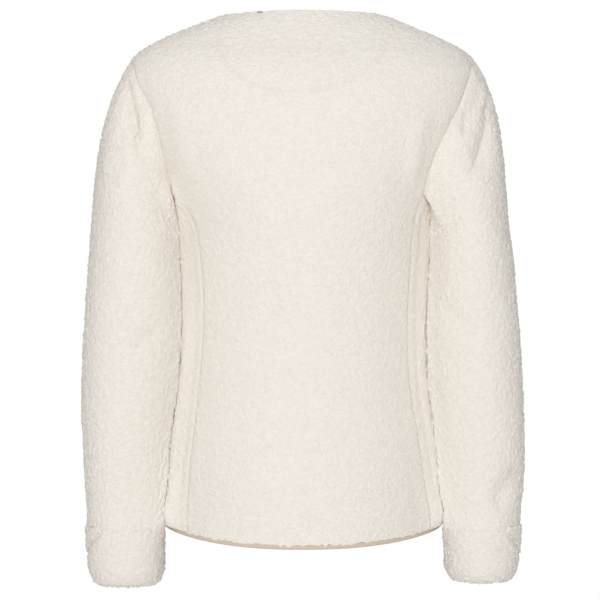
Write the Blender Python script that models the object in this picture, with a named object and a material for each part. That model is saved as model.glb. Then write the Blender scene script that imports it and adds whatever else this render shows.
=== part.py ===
"""Sherpa cardigan, filled out as if it were worn, with nobody in it.

Metres, +Z up. +X is the wearer's left and the front faces -Y. The origin lies midway
between the two points where the neck edge meets the shoulder seams.

The body is one surface, read by an angle round it and a level up it, and each panel
is a stretch of that surface between its seams. The sleeves leave the same armhole
points. Every piece is a wall of cloth, open where the garment is open.
"""

import math

import bpy
import numpy as np

COLLECTION_NAME = "sherpa_cardigan"

# Cloth and seams.
WALL = 0.006
SEAM_GAP = 0.0003
SEAM_DIP = 0.0015
DIP_REACH = 0.007

# Edges. The binding closes the hem and the front edges, the tape lies inside the neck.
BINDING_HEIGHT = 0.006
BINDING_THICKNESS = 0.005
FRONT_GAP = 0.002
FRONT_EDGE = FRONT_GAP / 2 + BINDING_HEIGHT
NECK_TAPE_HEIGHT = 0.011
NECK_TAPE_THICKNESS = 0.0012
NECK_TAPE_DROP = 0.001


def columns(names, *rows):
    """A table's columns by name."""
    return dict(zip(names.split(), np.array(rows).T))


# The body's rings from the hem up to the neck edge. Level is the height at the centre
# of the back, side_z and front_z are the ring's heights at the sides and the front.
# Between the underarm and the shoulder point the ring runs on through the sleeves.
BODY = columns(
    "level   side_z   front_z  left_x  right_x back_y  side_y   front_y  square",
    (-0.6145, -0.6005, -0.6120, 0.1660, 0.1665, 0.1270, -0.0300, -0.1220, 2.25),
    (-0.5650, -0.5575, -0.5640, 0.1655, 0.1665, 0.1250, -0.0300, -0.1210, 2.20),
    (-0.5060, -0.5040, -0.5060, 0.1635, 0.1640, 0.1200, -0.0300, -0.1190, 2.20),
    (-0.4400, -0.4400, -0.4400, 0.1550, 0.1550, 0.1140, -0.0300, -0.1170, 2.15),
    (-0.3650, -0.3650, -0.3650, 0.1500, 0.1525, 0.1090, -0.0300, -0.1160, 2.15),
    (-0.3000, -0.3000, -0.3000, 0.1505, 0.1545, 0.1120, -0.0300, -0.1230, 2.20),
    (-0.2280, -0.2280, -0.2320, 0.1535, 0.1555, 0.1180, -0.0230, -0.1350, 2.40),
    (-0.2020, -0.2080, -0.2120, 0.1620, 0.1625, 0.1190, -0.0180, -0.1365, 2.45),
    (-0.1650, -0.1710, -0.1820, 0.1850, 0.1850, 0.1170, -0.0110, -0.1330, 2.40),
    (-0.1150, -0.1180, -0.1520, 0.2100, 0.2080, 0.1090, -0.0030, -0.1220, 2.35),
    (-0.0570, -0.0490, -0.1160, 0.1990, 0.1985, 0.0900, 0.0000, -0.1060, 2.30),
    (-0.0400, -0.0360, -0.1045, 0.1815, 0.1795, 0.0790, 0.0000, -0.0970, 2.25),
    (-0.0180, -0.0220, -0.0925, 0.1525, 0.1495, 0.0665, 0.0000, -0.0900, 2.15),
    (0.0010, 0.0000, -0.0850, 0.0970, 0.0970, 0.0550, 0.0000, -0.0850, 2.00),
)
HEM_LEVEL = -0.6145
UNDERARM_LEVEL = -0.2280
SHOULDER_LEVEL = -0.0570
NECK_LEVEL = 0.0010

# The back's shaping seams, from the hem to where each one runs into its armhole.
PRINCESS = columns(
    "level   left    right",
    (-0.6145, 0.1335, 0.1450),
    (-0.5508, 0.1318, 0.1395),
    (-0.4940, 0.1262, 0.1328),
    (-0.4372, 0.1205, 0.1237),
    (-0.3690, 0.1148, 0.1203),
    (-0.3123, 0.1159, 0.1226),
    (-0.2670, 0.1205, 0.1258),
    (-0.2330, 0.1318, 0.1310),
)
JUNCTION_LEVEL = -0.2105

# The armhole's upper stretches, between the shoulder point and the turn under the arm.
ARMHOLE_BACK = columns(
    "height  left    right",
    (-0.0490, 0.1990, 0.1985),
    (-0.0690, 0.1938, 0.1948),
    (-0.0920, 0.1866, 0.1885),
    (-0.1100, 0.1760, 0.1810),
    (-0.1340, 0.1690, 0.1675),
    (-0.1630, 0.1618, 0.1535),
    (-0.1860, 0.1570, 0.1445),
    (-0.2050, 0.1515, 0.1395),
    (-0.2180, 0.1495, 0.1370),
)
ARMHOLE_FRONT = columns(
    "height  left    right",
    (-0.0490, 0.1990, 0.1985),
    (-0.0800, 0.1850, 0.1850),
    (-0.1100, 0.1690, 0.1690),
    (-0.1400, 0.1580, 0.1580),
    (-0.1700, 0.1535, 0.1535),
    (-0.2050, 0.1535, 0.1535),
)
FRONT_TURN_LEVEL = -0.2000

# The sleeves below the cap: the outline's outer and inner sides seen from behind.
SLEEVE = {
    "left": columns(
        "height  outer   inner   centre_y depth",
        (-0.2600, 0.2480, 0.1460, 0.0260, 0.0620),
        (-0.2940, 0.2500, 0.1450, 0.0310, 0.0580),
        (-0.3290, 0.2525, 0.1445, 0.0335, 0.0545),
        (-0.3645, 0.2545, 0.1450, 0.0345, 0.0530),
        (-0.4000, 0.2565, 0.1467, 0.0350, 0.0525),
        (-0.4350, 0.2575, 0.1496, 0.0350, 0.0520),
        (-0.4700, 0.2575, 0.1544, 0.0350, 0.0500),
        (-0.5060, 0.2555, 0.1585, 0.0355, 0.0475),
        (-0.5415, 0.2539, 0.1608, 0.0360, 0.0450),
        (-0.5770, 0.2510, 0.1626, 0.0370, 0.0425),
        (-0.6350, 0.2480, 0.1620, 0.0370, 0.0410),
        (-0.6670, 0.2475, 0.1615, 0.0360, 0.0405),
    ),
    "right": columns(
        "height  outer   inner   centre_y depth",
        (-0.2600, 0.2418, 0.1490, 0.0260, 0.0620),
        (-0.2940, 0.2458, 0.1490, 0.0310, 0.0580),
        (-0.3290, 0.2483, 0.1485, 0.0335, 0.0545),
        (-0.3645, 0.2515, 0.1475, 0.0345, 0.0530),
        (-0.4000, 0.2538, 0.1480, 0.0350, 0.0525),
        (-0.4350, 0.2558, 0.1496, 0.0350, 0.0520),
        (-0.4700, 0.2568, 0.1538, 0.0350, 0.0500),
        (-0.5060, 0.2578, 0.1580, 0.0355, 0.0475),
        (-0.5415, 0.2568, 0.1614, 0.0360, 0.0450),
        (-0.5770, 0.2528, 0.1640, 0.0370, 0.0425),
        (-0.6350, 0.2485, 0.1650, 0.0370, 0.0410),
        (-0.6670, 0.2480, 0.1655, 0.0360, 0.0405),
    ),
}
CAP_HEIGHT = -0.2600

# The way in which the sleeve leaves the armhole. Turn runs from the shoulder point
# over the back to the underarm and up the front. Pull is how long it keeps on.
UNDERARM_TURN = 0.57
CAP_LEAVES = columns(
    "turn  x     y     z      pull",
    (0.00, 0.54, 0.05, -0.84, 1.00),
    (0.12, 0.62, 0.15, -0.77, 1.00),
    (0.25, 0.66, 0.20, -0.71, 1.00),
    (0.38, 0.55, 0.15, -0.80, 0.80),
    (0.50, 0.40, 0.10, -0.90, 0.60),
    (0.62, 0.65, 0.05, -0.70, 0.70),
    (0.75, 0.66, -0.02, -0.72, 1.00),
    (0.88, 0.60, -0.08, -0.79, 1.00),
    (1.00, 0.54, 0.05, -0.84, 1.00),
)

# Folds and drapes as seen from behind or in front: a line from (x0, z0) to (x1, z1)
# bowed sideways by bow, a depth below the surface (a ridge if negative) and a width.
FOLDS = columns(
    "face x0       z0      x1       z1      bow     depth    width",
    (1, 0.1930, -0.0950, 0.1800, -0.1750, 0.0020, 0.0050, 0.0120),
    (1, -0.2060, -0.0750, -0.1840, -0.1400, 0.0000, 0.0050, 0.0110),
    (1, -0.2170, -0.0980, -0.1950, -0.1860, -0.0060, 0.0070, 0.0120),
    (1, -0.1360, -0.1250, -0.1260, -0.2050, 0.0020, -0.0030, 0.0100),
    (1, 0.1450, -0.1100, 0.1340, -0.2000, 0.0000, -0.0020, 0.0120),
    (1, -0.2500, -0.5300, -0.2200, -0.5700, 0.0030, 0.0045, 0.0110),
    (1, 0.1600, -0.3700, 0.2000, -0.3950, 0.0040, 0.0030, 0.0120),
    (1, -0.1600, -0.3400, -0.2020, -0.3700, 0.0040, 0.0030, 0.0120),
    (-1, 0.2150, -0.0950, 0.1860, -0.1750, 0.0050, 0.0045, 0.0100),
    (-1, -0.2080, -0.0900, -0.1850, -0.1800, -0.0050, 0.0045, 0.0100),
    (-1, 0.1620, -0.3600, 0.2250, -0.3850, 0.0060, 0.0050, 0.0120),
    (-1, -0.1640, -0.3500, -0.2280, -0.3800, 0.0060, 0.0050, 0.0120),
    (-1, 0.1250, -0.1500, 0.1150, -0.2300, 0.0030, 0.0030, 0.0110),
    (-1, -0.1270, -0.1450, -0.1120, -0.2250, 0.0030, 0.0030, 0.0110),
)

# Cuffs: turned back over the sleeve's end, with a V on the outer side.
CUFF_TOP = -0.5950
CUFF_BOTTOM = {"left": -0.6655, "right": -0.6610}
CUFF_FOLD = 0.0065
CUFF_MIDDLE = -0.6280
UNDER_CUFF = 0.0040
UNDER_CUFF_RUN = 0.0060
UNDER_CUFF_END = 0.0010
V_START = 0.0060
V_DROP = 0.0320
V_HALF_TURN = 0.165
V_STEP = 0.0020

SIDES = {"left": 1.0, "right": -1.0}

# How finely the pieces are divided.
BACK_COLUMNS = 14
FRONT_COLUMNS = 9
SIDE_SHARES = (0.0, 0.12, 0.37, 0.63, 0.88, 1.0)
LOW_ROWS = 11
BLEND_LEVEL = -0.2750
BLEND_ROWS = (-0.2500, -0.2320)
BACK_ARMHOLE_ROWS = 12
FRONT_TURN_SHARES = (0.67, 0.34, 0.0)
FRONT_ARMHOLE_ROWS = 9
SHOULDER_ROWS = (-0.0400, -0.0240)
CAP_SHARES = (0.0, 0.10, 0.22, 0.36, 0.50, 0.64, 0.77, 0.89, 1.0)
SLEEVE_ROWS = 15
UNDER_CUFF_ROWS = 4
SAME = 1e-6
LEVEL_STEP = 0.0005
TURN_STEP = 0.001

# What each kind of cloth looks like. Every piece has its own material made from one.
FLEECE = {"colour": (0.84, 0.79, 0.72, 1.0), "roughness": 0.95}
BEIGE = {"colour": (0.62, 0.52, 0.42, 1.0), "roughness": 0.80}
SHARP_ANGLE = math.radians(50)


def spline(knots, values, at):
    """A smooth curve through the values, by cubic stretches between the knots."""
    slopes = np.gradient(values, knots)
    index = np.clip(np.searchsorted(knots, at) - 1, 0, len(knots) - 2)
    width = knots[index + 1] - knots[index]
    share = (at - knots[index]) / width
    rise = share * share * (3 - 2 * share)
    start = width * slopes[index] * share * (1 - share) ** 2
    end = width * slopes[index + 1] * share * share * (share - 1)
    return values[index] * (1 - rise) + values[index + 1] * rise + start + end


def smooth_step(low, high, value):
    """0 at low, 1 at high, and smooth between them."""
    share = np.clip((value - low) / (high - low), 0, 1)
    return share * share * (3 - 2 * share)


def unit(vectors):
    return vectors / np.maximum(np.linalg.norm(vectors, axis=-1, keepdims=True), 1e-12)


# The body's surface


def half_width(level, to_left):
    """The ring's half width on the wearer's left or right."""
    left = spline(BODY["level"], BODY["left_x"], level)
    right = spline(BODY["level"], BODY["right_x"], level)
    return np.where(to_left, left, right)


def body_base(angle, level):
    """The smooth surface. Angle is 0 at the back's centre and positive to the left."""
    row = {name: spline(BODY["level"], BODY[name], level) for name in BODY}
    sine = np.sin(angle)
    cosine = np.cos(angle)
    power = 2 / row["square"]
    behind = cosine >= 0
    width = np.where(sine >= 0, row["left_x"], row["right_x"])
    depth = np.where(behind, row["back_y"], row["front_y"]) - row["side_y"]
    height = np.where(behind, level, row["front_z"]) - row["side_z"]
    x = width * np.sign(sine) * np.abs(sine) ** power
    y = row["side_y"] + depth * np.abs(cosine) ** power
    z = row["side_z"] + height * cosine**2
    return np.stack([x, y, z], axis=-1)


def body_normal(angle, level):
    """The surface's outward normal, from its two directions at this point."""
    around = body_base(angle + TURN_STEP, level) - body_base(angle - TURN_STEP, level)
    up = body_base(angle, level + LEVEL_STEP) - body_base(angle, level - LEVEL_STEP)
    return unit(np.cross(up, around))


def fold_depth(points, normals):
    """How far the folds push the surface in at these points."""
    depth = np.zeros(points.shape[:-1])
    for face, x0, z0, x1, z1, bow, fold, width in zip(*FOLDS.values()):
        run = np.array([x1 - x0, z1 - z0])
        length = math.hypot(*run)
        offset = np.stack([points[..., 0] - x0, points[..., 2] - z0], axis=-1)
        along = offset @ run / length**2
        across = offset @ np.array([-run[1], run[0]]) / length
        across = across - 4 * bow * along * (1 - along)
        ends = smooth_step(-0.15, 0.2, along) * smooth_step(1.15, 0.8, along)
        facing = smooth_step(0.0, 0.5, normals[..., 1] * face)
        depth += fold * np.exp(-((across / width) ** 2)) * ends * facing
    return depth


def body_outer(angle, level):
    points = body_base(angle, level)
    normals = body_normal(angle, level)
    return points - normals * fold_depth(points, normals)[..., None]


def angle_at(x, level, front=False):
    """The angle whose point on this level has this x."""
    width = half_width(level, x >= 0)
    power = spline(BODY["level"], BODY["square"], level) / 2
    angle = np.arcsin(np.clip(np.abs(x) / width, 0, 1) ** power)
    return np.where(x >= 0, 1, -1) * (np.pi - angle if front else angle)


def level_at(x, height, front):
    """The level whose ring passes through this x and height, by halving."""
    low = UNDERARM_LEVEL - 0.02
    high = SHOULDER_LEVEL + 0.01
    for _ in range(40):
        middle = (low + high) / 2
        reached = body_base(angle_at(x, middle, front), middle)[2]
        low, high = (middle, high) if reached < height else (low, middle)
    return (low + high) / 2


# Seam lines, each as the angle where it crosses a level


def upper_armhole(side, table, front):
    """A function of level: the armhole's angle on the back or on the front."""
    sign = SIDES[side]
    levels = [
        level_at(sign * x, height, front)
        for x, height in zip(table[side][1:], table["height"][1:])
    ]
    levels = np.array([SHOULDER_LEVEL] + levels)[::-1]
    widths = table[side][::-1]

    def armhole_angle(level):
        x = sign * spline(levels, widths, level)
        at_shoulder = sign * np.pi / 2
        return np.where(
            level > SHOULDER_LEVEL - SAME, at_shoulder, angle_at(x, level, front)
        )

    return armhole_angle


ARMHOLE_ANGLE = {
    (side, front): upper_armhole(side, table, front)
    for side in SIDES
    for front, table in ((False, ARMHOLE_BACK), (True, ARMHOLE_FRONT))
}


def princess_angle(side, level):
    """The shaping seam below its junction with the armhole."""
    sign = SIDES[side]
    top = JUNCTION_LEVEL
    top_x = abs(body_base(ARMHOLE_ANGLE[side, False](top), top)[0])
    levels = np.append(PRINCESS["level"], top)
    widths = np.append(PRINCESS[side], top_x)
    return angle_at(sign * spline(levels, widths, level), level)


def back_edge_angle(side, level):
    """The back panel's side: shaping seam, then armhole, then shoulder seam."""
    if level < JUNCTION_LEVEL - SAME:
        return princess_angle(side, level)
    if level < SHOULDER_LEVEL - SAME:
        return ARMHOLE_ANGLE[side, False](level)
    return SIDES[side] * np.pi / 2


def turn_under_arm(side, front, share):
    """Angle and level from the foot of the upper armhole (share 0) to the underarm."""
    start_level = FRONT_TURN_LEVEL if front else JUNCTION_LEVEL
    start_angle = ARMHOLE_ANGLE[side, front](start_level)
    end_angle = SIDES[side] * np.pi / 2
    angle = start_angle + (end_angle - start_angle) * share
    drop = np.sin(share * np.pi / 2)
    return angle, start_level + (UNDERARM_LEVEL - start_level) * drop


# The rows and columns of each panel's grid. Panels that share a seam share its points.


def low_levels():
    """Levels from the hem's binding up to where the side panels start to blend."""
    return np.linspace(HEM_LEVEL + BINDING_HEIGHT, BLEND_LEVEL, LOW_ROWS)


def blend_levels():
    """The back's levels between the blend and the junction."""
    return [*BLEND_ROWS, JUNCTION_LEVEL - DIP_REACH, JUNCTION_LEVEL]


def armhole_levels():
    """The back's levels between the junction and the shoulder point."""
    return np.linspace(JUNCTION_LEVEL, SHOULDER_LEVEL, BACK_ARMHOLE_ROWS)[1:]


def shoulder_levels():
    """Levels from the shoulder point up to the neck edge, one at the tape's lower edge."""
    return [*SHOULDER_ROWS, NECK_LEVEL - NECK_TAPE_HEIGHT - NECK_TAPE_DROP, NECK_LEVEL]


def back_levels():
    """Every level of the back panel, from the hem to the neck."""
    return np.concatenate(
        [low_levels(), blend_levels(), armhole_levels(), shoulder_levels()]
    )


def side_seam_levels():
    """The blend's levels squeezed or stretched to end at the underarm."""
    rows = np.array(blend_levels())
    share = (rows - BLEND_LEVEL) / (JUNCTION_LEVEL - BLEND_LEVEL)
    return BLEND_LEVEL + share * (UNDERARM_LEVEL - BLEND_LEVEL)


def front_armhole_levels():
    """The front's levels between its turn under the arm and the shoulder point."""
    return np.linspace(FRONT_TURN_LEVEL, SHOULDER_LEVEL, FRONT_ARMHOLE_ROWS)[1:]


def spread(start, end, level, count):
    """Angles at even distances round a ring, with one near each end for the dip."""
    fine = np.linspace(start, end, 200)
    points = body_base(fine, level)
    steps = np.linalg.norm(np.diff(points, axis=0), axis=1)
    reached = np.concatenate([[0], np.cumsum(steps)])
    inner = np.linspace(DIP_REACH, reached[-1] - DIP_REACH, count - 1)
    angles = np.interp(inner, reached, fine)
    return np.concatenate([[start], angles, [end]])


def back_grid():
    """Angles and levels of the back panel, rows up it and columns across it."""
    levels = back_levels()
    angles = [
        spread(back_edge_angle("right", level), back_edge_angle("left", level), level,
               BACK_COLUMNS)
        for level in levels
    ]
    return np.array(angles), np.repeat(levels[:, None], BACK_COLUMNS + 1, axis=1)


def side_back_grid(side):
    """Angles and levels of a side back, from its shaping seam to its side seam."""
    shares = np.array(SIDE_SHARES)
    end = SIDES[side] * np.pi / 2
    top_angles, top_levels = turn_under_arm(side, False, shares)
    angles, levels = [], []
    for level in list(low_levels()) + blend_levels():
        lift = (level - BLEND_LEVEL) / (JUNCTION_LEVEL - BLEND_LEVEL)
        lift = max(lift, 0.0)
        row_levels = level + lift * (top_levels - top_levels[0])
        start = princess_angle(side, level)
        angles.append(start + (end - start) * shares)
        levels.append(row_levels)
    angles[-1] = top_angles
    return np.array(angles), np.array(levels)


def front_grid(side):
    """Angles and levels of a front, from its side seam and armhole to its edge."""
    sign = SIDES[side]
    rows = [(sign * np.pi / 2, level) for level in low_levels()]
    rows += [(sign * np.pi / 2, level) for level in side_seam_levels()]
    rows += [turn_under_arm(side, True, share) for share in FRONT_TURN_SHARES]
    for level in front_armhole_levels():
        rows.append((ARMHOLE_ANGLE[side, True](level), level))
    rows += [(sign * np.pi / 2, level) for level in shoulder_levels()]
    levels = np.array([level for _, level in rows])
    ends = angle_at(np.full(len(rows), sign * FRONT_EDGE), levels, True)
    angles = [
        spread(start, end, level, FRONT_COLUMNS)
        for (start, level), end in zip(rows, ends)
    ]
    return np.array(angles), np.repeat(levels[:, None], FRONT_COLUMNS + 1, axis=1)


def armhole_stations(side):
    """Angle and level of every panel corner round the armhole, from the shoulder
    point down the back, under the arm and up the front."""
    back = [
        (back_edge_angle(side, level), level)
        for level in back_levels()[::-1]
        if JUNCTION_LEVEL - SAME < level < SHOULDER_LEVEL + SAME
    ]
    under = [turn_under_arm(side, False, share) for share in SIDE_SHARES[1:]]
    front = [turn_under_arm(side, True, share) for share in FRONT_TURN_SHARES]
    for level in front_armhole_levels()[:-1]:
        front.append((ARMHOLE_ANGLE[side, True](level), level))
    angles, levels = np.array(back + under + front, dtype=float).T
    return angles, levels, len(back), len(under)


# Sleeves


def sleeve_ring(side, turn, height):
    """The sleeve below its cap, by the turn round it and the height."""
    row = {
        name: spline(-SLEEVE[side]["height"], SLEEVE[side][name], -height)
        for name in SLEEVE[side]
    }
    centre = (row["outer"] + row["inner"]) / 2
    half = (row["outer"] - row["inner"]) / 2
    x = centre + half * np.cos(2 * np.pi * turn)
    y = row["centre_y"] + row["depth"] * np.sin(2 * np.pi * turn)
    return np.stack(np.broadcast_arrays(SIDES[side] * x, y, height), axis=-1)


def ring_outward(side, turn, height):
    """The level direction out of the sleeve at this turn and height."""
    here = sleeve_ring(side, turn, height)
    along = sleeve_ring(side, turn + TURN_STEP, height) - here
    level = np.stack([along[..., 1], -along[..., 0], 0 * along[..., 2]], axis=-1)
    return unit(level) * SIDES[side]


def periodic(table, name, turn):
    """A column of a table that closes on itself after one turn."""
    turns = np.concatenate([table["turn"][-3:-1] - 1, table["turn"], table["turn"][1:3] + 1])
    values = np.concatenate([table[name][-3:-1], table[name], table[name][1:3]])
    return spline(turns, values, turn % 1)


def station_turns(points, back_count, under_count):
    """Each station's turn, by its distance round the armhole."""
    steps = np.linalg.norm(np.roll(points, -1, axis=0) - points, axis=1)
    reached = np.concatenate([[0], np.cumsum(steps)])
    underarm = back_count + under_count - 1
    half = reached[underarm]
    whole = reached[-1]
    behind = UNDERARM_TURN * reached[:-1] / half
    before = (reached[:-1] - half) / (whole - half)
    before = UNDERARM_TURN + (1 - UNDERARM_TURN) * before
    return np.where(np.arange(len(points)) <= underarm, behind, before)


def leave_directions(side, turns):
    """Which way the sleeve leaves the armhole at these turns."""
    directions = np.stack([periodic(CAP_LEAVES, axis, turns) for axis in "xyz"], axis=-1)
    return unit(directions) * np.array([SIDES[side], 1, 1])


def cap_points(side, turns, start, shares):
    """The cap: each rib leaves the armhole and runs smoothly into the sleeve."""
    end = sleeve_ring(side, turns, np.full(len(turns), CAP_HEIGHT))
    below = sleeve_ring(side, turns, np.full(len(turns), CAP_HEIGHT - LEVEL_STEP))
    reach = np.linalg.norm(end - start, axis=1, keepdims=True)
    pull = periodic(CAP_LEAVES, "pull", turns)[:, None]
    leave = leave_directions(side, turns) * reach * pull
    arrive = unit(below - end) * reach
    share = np.asarray(shares)[..., None]
    rise = share * share * (3 - 2 * share)
    first = share * (1 - share) ** 2
    last = share * share * (share - 1)
    return start * (1 - rise) + end * rise + leave * first + arrive * last


def around_normals(points, outward_from):
    """Normals of a tube of points, rows down it and columns round it."""
    down = np.gradient(points, axis=0)
    around = np.roll(points, -1, axis=1) - np.roll(points, 1, axis=1)
    normals = unit(np.cross(down, around))
    sign = np.sign(np.sum(normals * (points - outward_from), axis=-1))
    return normals * np.sign(np.sum(sign))


def armhole(side):
    """The armhole's points, the two walls' shared mitre there, and the turns."""
    angles, levels, back_count, under_count = armhole_stations(side)
    points = body_outer(angles, levels)
    turns = station_turns(points, back_count, under_count)
    along = unit(np.roll(points, -1, axis=0) - np.roll(points, 1, axis=0))
    body_side = body_normal(angles, levels)
    sleeve_side = unit(np.cross(leave_directions(side, turns), along)) * SIDES[side]
    agree = np.sum(body_side * sleeve_side, axis=1, keepdims=True)
    mitre = (body_side + sleeve_side) / np.maximum(1 + agree, 0.6)
    return points, mitre, turns, back_count, under_count


def sleeve_end(side):
    """The height at which the sleeve ends inside its cuff's fold."""
    return CUFF_BOTTOM[side] + CUFF_FOLD


def sleeve_heights(side):
    """Rows below the cap, with a quick step in under the cuff's top edge."""
    free = np.linspace(CAP_HEIGHT, CUFF_TOP + UNDER_CUFF_RUN, SLEEVE_ROWS)[1:]
    return np.concatenate([free, [CUFF_TOP - UNDER_CUFF_END, CUFF_MIDDLE, sleeve_end(side)]])


def sleeve_surface(side):
    """Outer and inner points of a sleeve: rows from the armhole down, columns round."""
    start, mitre, turns, _, _ = armhole(side)
    end = sleeve_ring(side, turns, np.full(len(turns), CAP_HEIGHT))
    first = DIP_REACH / np.linalg.norm(end - start, axis=1)
    shares = [np.zeros(len(turns))]
    for share in CAP_SHARES:
        shares.append(first + (1 - first) * share)
    cap = cap_points(side, turns, start, np.array(shares))
    low = np.array(
        [sleeve_ring(side, turns, np.full(len(turns), z)) for z in sleeve_heights(side)]
    )
    points = np.concatenate([cap, low])
    centres = points.mean(axis=1, keepdims=True)
    normals = around_normals(points, centres)
    for row in range(-UNDER_CUFF_ROWS, 0):
        normals[row] = ring_outward(side, turns, points[row, :, 2])
    rows = np.arange(len(points))[:, None]
    height = points[..., 2]
    under_cuff = UNDER_CUFF * smooth_step(
        CUFF_TOP + UNDER_CUFF_RUN, CUFF_TOP - UNDER_CUFF_END, height
    )
    push = fold_depth(points, normals) * np.minimum(rows / 2, 1) + under_cuff
    outer = points - normals * push[..., None]
    inner = outer - normals * WALL
    inner[0] = outer[0] - mitre * WALL
    outer[0] -= mitre * SEAM_DIP
    return outer, inner


# Walls


def border_shift(points, neighbours, wall, closed=False):
    """Half the seam gap, in the wall's plane, from a border towards its neighbours."""
    if closed:
        along = np.roll(points, -1, axis=0) - np.roll(points, 1, axis=0)
    else:
        along = np.gradient(points, axis=0)
    square = np.cross(unit(along), unit(wall))
    towards = np.sum(square * (neighbours - points), axis=1, keepdims=True)
    return unit(square) * np.sign(towards) * SEAM_GAP / 2


def panel_walls(angles, levels):
    """Outer and inner points of a body panel."""
    outer = body_outer(angles, levels)
    inner = outer - body_normal(angles, levels) * WALL
    return outer, inner


def dip_border(outer, inner, border):
    """Presses the outer points of a border in, where a seam pulls the fleece down."""
    thickness = outer[border] - inner[border]
    outer[border] -= thickness * (SEAM_DIP / WALL)


BORDERS = {
    "bottom": ((0, slice(None)), (1, slice(None))),
    "top": ((-1, slice(None)), (-2, slice(None))),
    "first": ((slice(None), 0), (slice(None), 1)),
    "last": ((slice(None), -1), (slice(None), -2)),
}


def part_borders(outer, inner, names, closed=False):
    """Moves the named borders inwards so that neighbours stand a seam gap apart."""
    shifts = np.zeros_like(outer)
    for name in names:
        border, beside = BORDERS[name]
        wall = outer[border] - inner[border]
        shifts[border] += border_shift(outer[border], outer[beside], wall, closed)
    outer += shifts
    inner += shifts


def wall_faces(rows, count, closed):
    """Quads of a wall: outer points first, then the inner ones in the same order."""
    faces = []
    inner = rows * count
    spans = count if closed else count - 1

    def point(row, column, layer):
        return layer * inner + row * count + column % count

    for row in range(rows - 1):
        for column in range(spans):
            corners = [(row, column), (row, column + 1), (row + 1, column + 1), (row + 1, column)]
            faces.append([point(r, c, 0) for r, c in corners])
            faces.append([point(r, c, 1) for r, c in reversed(corners)])
    for column in range(spans):
        for row, turned in ((0, False), (rows - 1, True)):
            rim = [point(row, column, 0), point(row, column, 1),
                   point(row, column + 1, 1), point(row, column + 1, 0)]
            faces.append(rim[::-1] if turned else rim)
    if not closed:
        for row in range(rows - 1):
            for column, turned in ((0, True), (count - 1, False)):
                rim = [point(row, column, 0), point(row, column, 1),
                       point(row + 1, column, 1), point(row + 1, column, 0)]
                faces.append(rim[::-1] if turned else rim)
    return faces


def split_quads(points, faces):
    """Splits each quad over its shorter diagonal, so that neighbouring pieces agree."""
    split = []
    for face in faces:
        if len(face) != 4:
            split.append(face)
            continue
        first, second, third, fourth = face
        one = np.linalg.norm(points[first] - points[third])
        other = np.linalg.norm(points[second] - points[fourth])
        if one < other:
            split += [[first, second, third], [first, third, fourth]]
        else:
            split += [[first, second, fourth], [second, third, fourth]]
    return split


def loop_faces(rings, count, closed):
    """Quads of a bar swept along its rings, closed on itself or capped at its ends."""
    faces = []
    for ring in range(rings if closed else rings - 1):
        after = (ring + 1) % rings
        for corner in range(count):
            beside = (corner + 1) % count
            faces.append([
                ring * count + corner, ring * count + beside,
                after * count + beside, after * count + corner,
            ])
    if not closed:
        faces.append(list(range(count))[::-1])
        faces.append([(rings - 1) * count + corner for corner in range(count)])
    return faces


def face_outwards(points, faces):
    """Turns all faces round if the closed mesh they make is inside out."""
    volume = 0.0
    for face in faces:
        first = points[face[0]]
        for second, third in zip(face[1:-1], face[2:]):
            volume += np.dot(first, np.cross(points[second], points[third]))
    return faces if volume > 0 else [face[::-1] for face in faces]


def cloth_material(name, colour, roughness):
    material = bpy.data.materials.new(name)
    material.use_nodes = True
    shader = material.node_tree.nodes["Principled BSDF"]
    shader.inputs["Base Color"].default_value = colour
    shader.inputs["Roughness"].default_value = roughness
    shader.inputs["Metallic"].default_value = 0.0
    material.diffuse_color = colour
    return material


def add_object(name, points, faces, cloth, garment):
    """One piece of the garment, parented to the empty at its origin."""
    points = np.reshape(points, (-1, 3))
    faces = face_outwards(points, split_quads(points, faces))
    mesh = bpy.data.meshes.new(name)
    mesh.from_pydata(points.tolist(), [], faces)
    mesh.materials.append(cloth_material(name, **cloth))
    mesh.shade_smooth()
    mesh.set_sharp_from_angle(angle=SHARP_ANGLE)
    piece = bpy.data.objects.new(name, mesh)
    piece.parent = garment
    garment.users_collection[0].objects.link(piece)


def add_wall(name, outer, inner, closed, garment):
    faces = wall_faces(outer.shape[0], outer.shape[1], closed)
    points = np.concatenate([outer.reshape(-1, 3), inner.reshape(-1, 3)])
    add_object(name, points, faces, FLEECE, garment)


# Pieces


def rows_on_armhole(levels):
    """The back's rows that end on the armhole."""
    low = JUNCTION_LEVEL - SAME
    return np.nonzero((levels > low) & (levels < SHOULDER_LEVEL + SAME))[0]


def add_back(garment):
    """The centre back, between its shaping seams, armholes and shoulder seams."""
    angles, levels = back_grid()
    outer, inner = panel_walls(angles, levels)
    for side, column in (("left", -1), ("right", 0)):
        _, mitre, _, back_count, _ = armhole(side)
        rows = rows_on_armhole(levels[:, 0])
        inner[rows, column] = outer[rows, column] - mitre[:back_count][::-1] * WALL
    dip_border(outer, inner, BORDERS["first"][0])
    dip_border(outer, inner, BORDERS["last"][0])
    part_borders(outer, inner, ("bottom", "first", "last"))
    add_wall("back_panel", outer, inner, False, garment)


def add_side_back(side, garment):
    """The panel between a shaping seam and the side seam, up to the armhole."""
    angles, levels = side_back_grid(side)
    outer, inner = panel_walls(angles, levels)
    _, mitre, _, back_count, under_count = armhole(side)
    under = mitre[back_count - 1 : back_count + under_count]
    inner[-1] = outer[-1] - under * WALL
    dip_border(outer, inner, (slice(None, -1), 0))
    dip_border(outer, inner, (slice(None, -1), -1))
    dip_border(outer, inner, BORDERS["top"][0])
    part_borders(outer, inner, ("bottom", "top", "first", "last"))
    add_wall(f"side_back_{side}", outer, inner, False, garment)


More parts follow.
